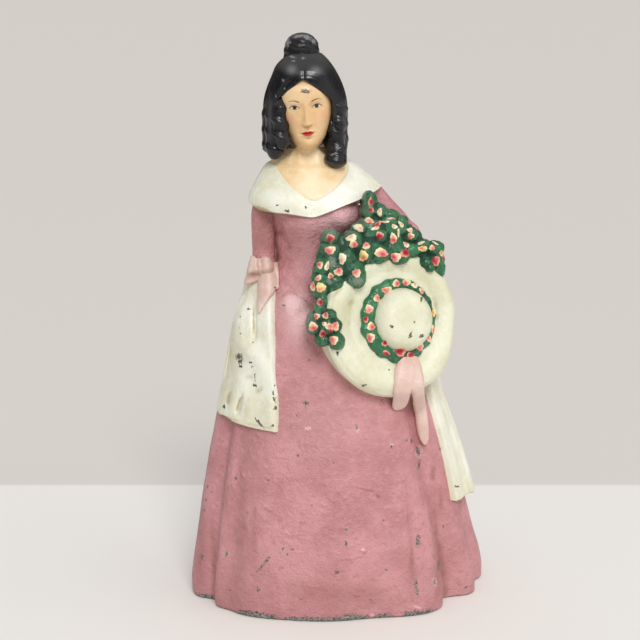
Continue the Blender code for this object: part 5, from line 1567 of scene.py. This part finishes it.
# The blooms: each a dab or two of thick paint, laid wet on the green in cream, then pink, then a red heart,
# on the flowers and on the wreath. They stand about half a millimetre proud.
DAB_PAINTS = {
    # rim, middle and heart
    "rose": ("#efe2ae", "#e58f86", "#cf4a4f"),
    "cream": ("#f1ecc4", "#f0dcb8", "#e79d90"),
    "pink": ("#f0ddb0", "#eb9c8d", "#de6a66"),
    "red": ("#e6a08c", "#b8303a", "#8e1f2c"),
    "yellow": ("#f0e6a0", "#ecc27c", "#de7a62"),
}
FLOWER_DABS = (
    # across and down in the picture, half width, half height, how many degrees it falls to the right, paint
    (370.6, 201.9, 2.8, 4, 0, "red"), (371.4, 209.8, 3.2, 2.6, 45, "red"),
    (379.7, 212.4, 2.6, 4.5, 0, "cream"), (369.2, 220.5, 5, 3, 20, "pink"),
    (377.2, 224.4, 5.5, 2.2, -35, "red"), (375.2, 228.2, 4.5, 2, -15, "cream"),
    (379.7, 235.3, 4.2, 4, 0, "red"), (385.5, 221.8, 4.5, 1.2, 0, "cream"),
    (391.6, 218.6, 4.5, 1.1, 0, "pink"), (394.5, 226.6, 3.5, 2.3, 20, "cream"),
    (401, 224.4, 4, 2, 50, "cream"), (393.2, 238.5, 3.8, 5.8, 0, "rose"),
    (398.4, 232.7, 1.2, 4.8, 0, "cream"), (410, 230.2, 3, 2.6, 30, "cream"),
    (410.9, 236, 3.6, 3.2, 0, "pink"), (405.5, 244.6, 4.6, 2.6, 25, "cream"),
    (381, 252.7, 7, 4.8, 10, "rose"), (395.8, 257.2, 5.5, 5, 0, "rose"),
    (404.8, 253.3, 4.8, 4.5, 0, "red"), (420.9, 243, 4, 1.5, -20, "cream"),
    (422.8, 248.8, 5, 3, 0, "yellow"), (432, 247.8, 3, 3, 0, "pink"), (435, 243, 4, 1, 30, "cream"),
    (441.2, 253.3, 1.8, 3.2, 0, "yellow"), (443.4, 257.8, 1.1, 3.4, 0, "red"),
    (436, 261, 4.2, 5.2, 0, "red"), (358.5, 227.8, 5.8, 3.8, 25, "cream"),
    (330.2, 237.9, 4.4, 4.2, 0, "red"), (351.4, 237.9, 6, 3.6, -15, "cream"),
    (353.4, 243.9, 4.3, 4.4, 0, "rose"), (330.2, 250.1, 5.8, 4.4, -10, "rose"),
    (366.2, 245.9, 4, 3.6, -30, "pink"), (363.3, 255.9, 4.8, 5.8, 0, "yellow"),
    (319.9, 265.1, 3.2, 4, 0, "rose"), (327, 266.2, 2.4, 5, 15, "cream"), (342.4, 258.5, 4, 6, 0, "cream"),
    (338.6, 272, 4.8, 4.2, 0, "rose"), (330.6, 275.8, 3, 3, 0, "rose"), (318.3, 278, 4, 2.6, -40, "pink"),
    (312.9, 286.8, 2.6, 4.8, 0, "pink"), (320.8, 287.4, 5.2, 5, 0, "yellow"),
    (356.6, 273.2, 4.5, 4.5, 0, "pink"), (319.9, 302.2, 3.2, 3.8, 0, "red"),
    (316.7, 316.3, 3.2, 3.2, 0, "rose"), (325.5, 315.7, 3.2, 3.6, 0, "rose"),
    (312.9, 326.6, 4.8, 5, 0, "rose"), (324.4, 324, 2.4, 2.4, 0, "cream"),
    (328.9, 326.6, 3.8, 3.4, 0, "pink"), (330.9, 330.5, 2.4, 2.4, 0, "red"),
    (335.4, 326.4, 4, 4.8, 0, "pink"), (322.5, 333.7, 3.6, 3.8, 0, "red"),
    (333.8, 340.1, 4.6, 4.8, 0, "pink"),
)
WREATH_DABS = (
    (396.2, 283.5, 3.8, 4, 0, "rose"), (406.5, 282.5, 4.4, 3.4, 0, "rose"),
    (414.6, 285.4, 3.6, 2.6, 20, "cream"), (421.6, 291, 2.2, 3.4, -30, "pink"),
    (386.8, 290, 5.5, 3.6, -10, "pink"), (376.8, 298.3, 3.4, 4, 0, "pink"),
    (369.2, 309, 4.2, 4.8, 0, "pink"), (365.9, 319.5, 2.8, 3.6, 0, "red"),
    (371, 326.4, 4.2, 4.4, 0, "rose"), (370.7, 337.6, 4.4, 5, 0, "rose"), (384.5, 343.6, 3, 3, 0, "red"),
    (386.2, 353, 4, 2.6, 20, "red"), (400.3, 352.3, 5.8, 4.4, 0, "red"),
    (410.2, 355.6, 4.2, 3.6, -30, "red"), (419.9, 346.8, 4, 4.2, -30, "pink"),
    (429, 338.8, 2.6, 4.2, -20, "pink"), (433, 329.2, 1.7, 4.4, 0, "pink"),
    (433.8, 313, 1.8, 4.2, 0, "yellow"),
)
DAB_RINGS, DAB_SIDES, DAB_PROUD = 10, 26, 0.55
DAB_SECTION = ((0, 0.72, 0.86, 1), (0, 0.94, 1, 0))  # over the face, round the edge and back under


def dab(number, across, down, half_across, half_down, falls, paint, pieces):
    middle = seen(across, down, pieces)
    if not math.isfinite(middle):
        return None
    slant = math.radians(falls)
    lean = 2.4 * number

    def place(u, v):
        share = np.interp(v, *DAB_SECTION)
        domed = DAB_PROUD * np.sqrt(np.clip(1 - share**3, 0, 1))
        lift = np.where(v <= 0.72, domed, np.where(v < 0.95, -0.15, -0.8))
        turn = 2 * math.pi * u
        wobble = 1 + 0.11 * np.sin(3 * turn + lean) + 0.07 * np.sin(7 * turn + 2 * lean)
        wide, high = half_across * share * wobble * np.cos(turn), half_down * share * wobble * np.sin(turn)
        at_x = across + wide * math.cos(slant) - high * math.sin(slant)
        at_y = down + wide * math.sin(slant) + high * math.cos(slant)
        spots = []
        for x, y, up in zip(at_x, at_y, lift):
            away = np.clip(seen(x, y, pieces), middle - 3.0, middle + 3.0) - up
            spots.append(camera_place + sight_line(x, y) * away)
        return np.array(spots).T

    piece = shaped_grid("dab", DAB_SIDES, DAB_RINGS, place)
    u, v = grid_shares(DAB_SIDES, DAB_RINGS)
    share = np.interp(v, *DAB_SECTION)
    turn = 2 * math.pi * u
    heart_x, heart_y = 0.36 * math.cos(lean), 0.36 * math.sin(lean)
    off_heart = np.hypot(share * np.cos(turn) - heart_x, share * np.sin(turn) - heart_y)
    off_heart = off_heart + share * (0.16 * np.sin(3 * turn + 2 * lean) + 0.10 * np.sin(8 * turn + lean))
    rim, middle_tone, heart = (np.array(linear(tone)[:3]) for tone in DAB_PAINTS[paint])
    colour = rim + (middle_tone - rim) * smooth_step(1.0, 0.62, off_heart)[:, None]
    colour = colour + (heart - colour) * smooth_step(0.52, 0.22, off_heart)[:, None]
    keep_colours(piece, "brushwork", [colour, np.ones(len(colour))])
    return weld(piece)


bloom_enamel = enamel(
    "cream_pink_and_red_oil_enamel", main="#eb9c8d", thin="#d98477", thick="#f0ddb0", dirt_and_shade="#6d5138",
    roughness=0.36, grain=0.06, chips=0.1,
)
brushed_over(bloom_enamel)
for name, rows, ground in (
    ("flower_blooms", FLOWER_DABS, ("flower_leaves_front", "hat_brim")),
    ("wreath_blooms", WREATH_DABS, ("hat_wreath", "hat_crown")),
):
    dabs = (dab(number, *row, named(*ground)) for number, row in enumerate(rows))
    blooms = join_as(name, [bloom for bloom in dabs if bloom])
    finish(blooms, bloom_enamel, "front_casting")

# Creases that were tooled in the pattern after its main forms: each a line in the picture, its depth
# (less than nothing for a ridge) and its half width. Only the surfaces that face the picture take them.
TOOLED = {
    "dress_front": (
        # across and down of both ends, depth in mm, half width in px
        (284, 295, 302, 313, -3.8, 12),
        (290, 312, 298, 350, -1, 13),
        (282, 282, 313, 306, 0.5, 2.4),
        (331, 222, 360, 212, -4.2, 12.5),
        (281, 532, 290, 534.5, -0.55, 1.3),
        (288, 536, 302, 533.5, -0.45, 1.2),
        (282, 537.5, 296, 541, 0.35, 1.2),
        (354, 486, 376, 490.5, -0.5, 0.9),
        (354, 488, 374, 492, 0.35, 0.9),
        (336, 490, 347, 500.5, -0.45, 1),
        (376.5, 494.5, 379.5, 499, 0.7, 1.1),
        (378.5, 493.5, 381, 498, -0.6, 1),
        (320.5, 504, 325.5, 506.5, -0.6, 1.1),
        (333.5, 571, 338.5, 573, 0.6, 1.2),
        (333, 574.5, 338, 576, -0.6, 1.1),
        (352.5, 594, 360, 595.5, -0.7, 1),
        (266, 477, 269.5, 479, -0.6, 1.2),
        (256, 434, 262, 437, -0.6, 1.2),
        (358, 549, 367, 552, -0.7, 1.5),
        (389, 441, 393, 450, -0.5, 1.1),
        (312.5, 445.5, 319.5, 452, 0.4, 0.9),
        (262, 505, 285, 519, -0.3, 1.6),
        (310, 515, 330, 512, -0.3, 1.8),
        (240, 470, 243, 478, -0.6, 1.4),
        (232, 480, 234, 492, -0.5, 1.3),
        (336, 560, 362, 556, -0.35, 1.6),
        (395, 470, 402, 520, -0.35, 2.2),
        (408, 480, 411, 530, 0.35, 2),
        (239, 440, 237, 596, 0.9, 6.5),
        (222, 450, 221, 596, -0.5, 6),
        (409, 450, 414, 604, 0.8, 5),
        (427, 470, 433, 604, -0.5, 5),
        (300, 440, 303, 452, -0.3, 1.4),
        (270, 455, 290, 458, -0.25, 1.4),
        (360, 460, 372, 463, -0.3, 1.4),
        (322, 480, 334, 478.5, 0.25, 1.2),
        (300, 585, 322, 588, -0.3, 1.5),
        (372, 580, 384, 578, -0.35, 1.4),
    ),
    "hat_brim": (
        (350, 296, 361, 326, 0.8, 9),
        (362, 318, 364, 345, 0.7, 6),
        (328, 306, 338, 345, -0.7, 5),
        (398, 262, 428, 268, 0.8, 6),
    ),
    "stole_right_end_front": (
        (253.2, 300, 254, 342, 1.9, 2.5),
        (242, 282, 238.5, 345, -1.7, 7),
        (236, 335, 268, 370, -1.8, 7.5),
        (268, 298, 271, 352, -1.1, 7),
        (244, 370, 262, 396, 1.5, 9.5),
        (240.9, 392, 236.2, 415, 1.9, 2.6),
        (228.8, 388, 226.5, 408, 1.1, 3),
        (270, 395, 272, 428, -1.3, 7),
        (227, 340, 231, 388, 1, 5.5),
        (250, 398, 249, 422, -0.7, 5),
        (275, 360, 277, 392, 0.8, 4),
    ),
}


def stroke(x, y, x0, y0, x1, y1, half_width):
    """1 along a tooled or brushed line, fading to its sides and its ends."""
    dx, dy = x1 - x0, y1 - y0
    share = ((x - x0) * dx + (y - y0) * dy) / (dx * dx + dy * dy)
    fade = smooth_step(-0.12, 0.3, share) * smooth_step(1.12, 0.7, share)
    return fade * bump(from_line(x, y, x0 - dx / 8, y0 - dy / 8, x1 + dx / 8, y1 + dy / 8), half_width)


def picture_places(points):
    """Across and down in the picture for points in mm."""
    away = np.asarray(points) - np.array(camera_place)
    right, up, back = (away @ np.array(axis) for axis in (picture_right, picture_up, camera_back))
    return CENTRE - FOCAL * right / back, CENTRE + FOCAL * up / back


def normals_of(piece):
    values = np.empty(3 * len(piece.data.vertices), np.float32)
    piece.data.vertices.foreach_get("normal", values)
    return values.reshape(-1, 3).astype(float)


def tooled(piece):
    points, normals = points_of(piece), normals_of(piece)
    across, down = picture_places(points)
    sink = 0.0
    for x0, y0, x1, y1, deep, half_width in TOOLED.get(piece.name, ()):
        sink = sink + deep * stroke(across, down, x0, y0, x1, y1, half_width)
    facing = smooth_step(0.05, 0.35, normals @ np.array(camera_back))
    move_points(piece, points - normals * (sink * facing)[:, None])


# Wear, dirt and painted light. Knocks have chipped the enamel to dark iron where they are in the picture,
# the hem and sharp edges are rubbed bare, and brown dust lies in the hollows, with painted shade there and
# in the creases; painted highlights and glints lie where light would shine. Kept with the points as red
# for wear, green for dirt and painted shade, blue for a chalky bloom and painted glints, and alpha for
# painted highlights.
KNOCKS = (
    # across and down in the picture, half width, half height, how many degrees it falls to the right
    (267, 560, 3.2, 0.8, -55), (260, 568.5, 3.2, 0.8, -50), (258, 589, 1.1, 1.4, 0),
    (226.5, 553.5, 1, 1.8, 0), (236, 478, 0.8, 1.2, 0), (346.5, 529.5, 1.4, 1, 35), (346, 544, 0.8, 2, 0),
    (418, 540, 1.1, 3.8, 8), (418, 451.5, 1.2, 3, -20), (419, 465, 0.8, 3, 15), (411.5, 441, 0.6, 1.6, 0),
    (416, 584, 1, 3, 8), (417, 592, 1, 2.4, -10), (306, 403, 1.8, 1.5, 45), (297, 416, 0.6, 0.8, 0),
    (291, 427, 0.7, 0.7, 0), (283, 548.5, 0.7, 0.8, 0), (292.5, 549.5, 1, 0.7, 0),
    (287.5, 554.5, 0.7, 0.7, 0), (337.5, 572.5, 1, 0.8, 0), (391.5, 447, 0.7, 0.9, 0),
    (227.5, 488, 0.5, 1.4, 0), (207.5, 487, 0.6, 1.4, 0), (206, 500, 0.5, 1, 0), (205, 510, 0.5, 1, 0),
    (202, 557, 0.7, 2, 0), (438.5, 565.5, 0.7, 2.8, 0), (434.5, 581.5, 0.7, 1.8, 0), (465.5, 587, 1, 1, 0),
    (455.5, 601.5, 1.4, 0.8, 0), (248.5, 309, 1.2, 0.7, -10), (240.5, 314, 0.5, 0.5, 0),
    (240, 317, 0.5, 0.5, 0), (239, 328.5, 0.6, 0.4, 0), (240.5, 333.5, 0.5, 0.4, 0),
    (253, 342.5, 0.4, 0.7, 0), (239, 356.5, 2.6, 2, 0), (240.5, 361.5, 1.4, 2, 30),
    (240.8, 366.5, 1.4, 0.8, 0), (250.3, 362.5, 1.3, 0.6, 20), (252, 366.5, 0.7, 0.7, 0),
    (255, 377, 0.4, 2.6, 0), (254.5, 385.5, 1.2, 1.1, 0), (274.5, 385.5, 0.5, 0.6, 0),
    (273, 393, 0.7, 1.2, 0), (274, 399, 0.8, 2.2, -15), (275.5, 408, 1, 1.5, 0), (224, 406.5, 0.9, 1.3, 0),
    (259.5, 423.2, 4, 0.8, 50), (273, 425.5, 1.4, 0.7, -35), (457, 486.5, 1.6, 0.6, 0),
    (440.5, 449, 0.6, 1.2, 0), (277, 205, 0.9, 0.7, 0), (287, 211, 1.9, 0.9, 5),
    (421.5, 299.5, 0.7, 2.2, 10), (425.5, 297.5, 0.5, 2, 10), (391.5, 326.5, 1.1, 0.9, 0),
    (414.5, 322, 0.5, 1.1, 0), (410.5, 335, 1, 2, 15), (421.5, 336, 1.5, 1, -30),
    (337.5, 353, 0.9, 1.3, 0), (363.5, 385.5, 1.8, 0.7, -20), (305.8, 91.2, 3, 1.3, 0),
    (275, 287.5, 0.7, 0.5, 20), (389, 370, 0.5, 0.5, 0), (382, 355.5, 0.7, 0.5, 0),
    (284.5, 305.5, 1, 0.8, 0), (385, 181.5, 0.7, 1.6, 0), (356.8, 427.5, 0.9, 1.7, 0),
    (333, 462, 0.6, 0.5, 0), (268.5, 480, 0.6, 0.8, 0), (312, 505, 0.5, 0.5, 0), (383, 520, 0.5, 0.6, 0),
    (301, 600, 0.7, 0.5, 0), (230, 590, 0.5, 0.5, 0), (371, 600, 0.5, 0.8, 0), (395, 560, 0.5, 0.6, 0),
    (247, 512, 0.5, 0.5, 0),
)
BARE_HEM = (
    # along the hem's edge in the picture: from across, down to across, down, half width
    (196, 595.5, 212, 597, 1.4), (240, 612, 276, 618, 1.7), (286, 620, 345, 621, 2),
    (337, 620, 344, 620, 2.6), (348, 619, 366, 619, 3), (376, 618, 389, 617, 2.2),
    (407, 615.5, 421, 614.5, 2.8), (424, 613.5, 431, 611.5, 2), (452, 601.5, 460, 600, 1.6),
)
# Pale marks: a chalky bloom where the paint is rubbed, and painted glints on the leaves and the hair
BLOOM_AND_GLINTS = (
    # as a knock
    (357, 429, 1.5, 2, 0), (308, 428.5, 2.2, 1.3, 0), (363, 549.5, 1.4, 1, 0), (391.5, 444.5, 1.4, 1, 0),
    (417.5, 607, 3, 0.8, 20), (356, 616, 2, 1, 0), (372, 615, 1.6, 0.8, 0), (287.3, 41.5, 2, 3.2, 0),
    (298.5, 36, 3.6, 0.9, -8), (307, 37, 3, 1.4, 20), (313.5, 41, 1.2, 2.4, -30),
    (292.5, 57, 2.2, 0.7, 15), (293.5, 61, 1.4, 0.6, 0), (337.5, 148, 1.6, 1.8, 30),
    (333.5, 154, 2.4, 0.7, -20), (303, 58, 1.2, 0.8, 0), (283, 80, 0.8, 0.8, 0), (276, 96, 0.6, 0.8, 0),
    (356.5, 281, 5, 3, 0), (329.5, 281.5, 2.2, 1.8, 0), (331.5, 262, 2.6, 4, 0), (284.5, 89, 0.6, 0.6, 0),
    (434.5, 581.5, 1.4, 2.4, 0), (226.5, 553.5, 1.4, 1.8, 0), (418, 453, 2, 3.2, -20),
    (346.5, 529.5, 1.8, 1.4, 35),
)
# Brown strokes: real stains in a few places, and mostly painted shade: in the stole's and skirt's fold
# valleys, in the recess beside the right sleeve, along the lower edges of the collar and the stole, beside
# the neck under the hair, over the sleeve and bodice, and on the brim beside the flowers.
STAINS_AND_SHADE = (
    # across and down of both ends, half width, strength
    (253.5, 303, 253.8, 336, 1.4, 0.65), (240.7, 396, 236.4, 412, 1.5, 0.75),
    (228, 393, 227, 404, 1.4, 0.5), (238, 372, 266, 392, 10, 0.08), (277, 252, 279, 262, 2.6, 0.8),
    (276, 232, 277, 250, 2, 0.4), (212, 510, 213.5, 574, 3, 0.3), (236, 503, 238, 565, 5, 0.2),
    (434, 464, 432, 482, 3, 0.6), (441, 490, 441, 512, 2, 0.5), (390, 305, 420, 325, 15, 0.2),
    (445, 400, 452, 490, 9, 0.2), (268.5, 480, 268.6, 480.1, 1.6, 0.8), (411.5, 395, 412, 411, 2, 0.8),
    (390.5, 397, 391.5, 408, 1.8, 0.7), (217, 414, 243, 422.5, 1.4, 0.45),
    (243, 422.5, 279, 430, 1.4, 0.45), (250, 204.5, 275.6, 214.2, 1.4, 0.55),
    (275.6, 214.2, 314.5, 218.4, 1.4, 0.55), (314.5, 218.4, 345, 207, 1.4, 0.5),
    (435, 296, 438, 330, 3, 0.3), (356, 382, 382, 396, 1.4, 0.4), (329, 300, 345, 284, 2.2, 0.3),
    (286, 131, 289, 143, 2.4, 0.5), (287, 152, 297, 144, 4, 0.3), (325.5, 137, 329, 150, 2.6, 0.35),
    (420, 362, 424, 386, 1.2, 0.35), (262, 200, 262.5, 258, 11, 0.55), (294, 224, 300, 268, 15, 0.25),
    (336, 290, 356, 340, 16, 0.2), (384, 268, 432, 270, 8, 0.24), (334.8, 572.5, 337, 573.5, 1.5, 1),
    (308.5, 283, 311, 294, 2, 0.7), (203, 470, 200, 590, 5, 0.25), (252, 480, 255, 560, 4, 0.3),
    (432, 490, 440, 600, 5, 0.3), (437, 425, 441, 450, 2.5, 0.35), (268, 585, 400, 600, 9, 0.2),
    (408, 480, 413, 600, 4, 0.25),
)
PAINTED_HIGHLIGHTS = (
    # painted highlights, a smooth pale coat on the hip, the hair's swells and sides, the bodice, the collar
    # and the skirt: as a knock, then its strength
    (294, 304, 9, 7.5, 38, 1), (297, 321, 7.5, 12, 0, 0.65), (291.6, 69.8, 3, 2.8, 0, 0.42),
    (315.6, 71.2, 3.2, 2.6, 0, 0.45), (303, 62, 10, 5, 0, 0.05), (343, 220, 14, 9, -20, 0.6),
    (316, 222, 12, 4, 0, 0.25), (352, 187, 12, 6, -30, 0.4), (330, 197, 8, 5, -20, 0.3),
    (312, 238, 12, 9, 0, 0.08), (270, 119, 1.2, 12, 0, 0.16), (345, 130, 1.2, 12, 0, 0.16),
    (320, 425, 26, 18, 0, 0.12),
)
EVENED_OVER = 1.3  # the reach over which a hollow is told from a swell
MARK_FADE = 0.35  # how fast a mark fades past its edge


def near_mark(across, down, marks):
    """1 at the middle of the nearest of some oval marks, and less than a half beyond its edge."""
    most = np.zeros(len(across))
    for x, y, half_across, half_down, falls in marks:
        slant = math.radians(falls)
        wide = (across - x) * math.cos(slant) + (down - y) * math.sin(slant)
        high = (down - y) * math.cos(slant) - (across - x) * math.sin(slant)
        most = np.maximum(most, np.exp(-MARK_FADE * ((wide / half_across) ** 2 + (high / half_down) ** 2)))
    return most


def hollow_of(piece, points, normals):
    """How far, in mm, each point lies under the mean of those round it."""
    edges = np.empty(2 * len(piece.data.edges), np.int32)
    piece.data.edges.foreach_get("vertices", edges)
    first, second = edges.reshape(-1, 2).T
    count = np.bincount(np.concatenate([first, second]), minlength=len(points))[:, None] + 1e-9
    cell = np.median(np.linalg.norm(points[first] - points[second], axis=1))
    evened = points.copy()
    for _ in range(int(np.clip(2 * (EVENED_OVER / cell) ** 2, 2, 24))):
        total = np.zeros_like(evened)
        for axis in range(3):
            total[:, axis] = np.bincount(first, evened[second, axis], len(points))
            total[:, axis] += np.bincount(second, evened[first, axis], len(points))
        evened = total / count
    return ((evened - points) * normals).sum(axis=1)


def refine(piece):
    """Finer mesh under the small marks, so that their edges are sharp."""
    centres, normals = (np.empty(3 * len(piece.data.polygons), np.float32) for _ in range(2))
    piece.data.polygons.foreach_get("center", centres)
    piece.data.polygons.foreach_get("normal", normals)
    facing = normals.reshape(-1, 3) @ np.array(camera_back) > 0.05
    across, down = picture_places(centres.reshape(-1, 3) / MM)
    chosen = facing & (near_mark(across, down, KNOCKS + BLOOM_AND_GLINTS) > 0.22)
    for x0, y0, x1, y1, half_width in BARE_HEM:
        chosen |= facing & (from_line(across, down, x0, y0, x1, y1) < half_width * 1.6)
    for x0, y0, x1, y1, _, half_width in TOOLED.get(piece.name, ()):
        if half_width < 3:
            chosen |= facing & (from_line(across, down, x0, y0, x1, y1) < half_width * 2.2)
    if not chosen.any():
        return
    work_on(piece)
    piece.data.polygons.foreach_set("select", chosen)
    piece.data.edges.foreach_set("select", np.zeros(len(piece.data.edges), bool))
    piece.data.vertices.foreach_set("select", np.zeros(len(piece.data.vertices), bool))
    bpy.ops.object.mode_set(mode="EDIT")
    bpy.context.tool_settings.mesh_select_mode = (False, False, True)
    bpy.ops.mesh.subdivide(number_cuts=2)
    bpy.ops.object.mode_set(mode="OBJECT")


for piece in painted:
    refine(piece)
    tooled(piece)
    points, normals = points_of(piece), normals_of(piece)
    across, down = picture_places(points)
    facing = smooth_step(0.0, 0.15, normals @ np.array(camera_back))
    hollow = hollow_of(piece, points, normals)
    wear = near_mark(across, down, KNOCKS) * facing
    for x0, y0, x1, y1, half_width in BARE_HEM:
        away = from_line(across, down, x0, y0, x1, y1) / half_width
        wear = np.maximum(wear, facing * np.exp(-MARK_FADE * away**2))
    wear = np.maximum(wear, 0.55 * smooth_step(1.6, 0.2, points[:, 2]))
    wear = np.maximum(wear, 0.09 * smooth_step(0.10, 0.30, -hollow))
    # Dust in the hollows, and painted shade there: the deeper a point lies under those round it, the darker
    grime_and_shade = 0.45 * smooth_step(0.03, 0.30, hollow)
    # On the leaves the hollows take much more, dark green: painted shade in the crevices between them
    if green_enamel in piece.data.materials[:]:
        grime_and_shade = 1.1 * smooth_step(0.01, 0.20, hollow)
    # The dress walls also darken towards the bottom, over the lowest 45 mm
    if piece in (front_wall, rear_wall):
        grime_and_shade = grime_and_shade + 0.24 * smooth_step(45, 5, points[:, 2])
    # Brown strokes: stains, and painted shade
    for x0, y0, x1, y1, half_width, strength in STAINS_AND_SHADE:
        grime_and_shade = grime_and_shade + facing * strength * stroke(across, down, x0, y0, x1, y1, half_width)
    # A chalky bloom, and painted glints
    bloom_and_glint = near_mark(across, down, BLOOM_AND_GLINTS) * facing
    # Painted highlights, smooth and pale, which keep dust and painted shade off where they lie
    painted_highlight = np.clip(sum(row[5] * near_mark(across, down, [row[:5]]) for row in PAINTED_HIGHLIGHTS) * facing, 0, 1)
    keep_colours(piece, "age", [wear, np.clip(grime_and_shade, 0, 1.2) * (1 - painted_highlight), bloom_and_glint, painted_highlight])
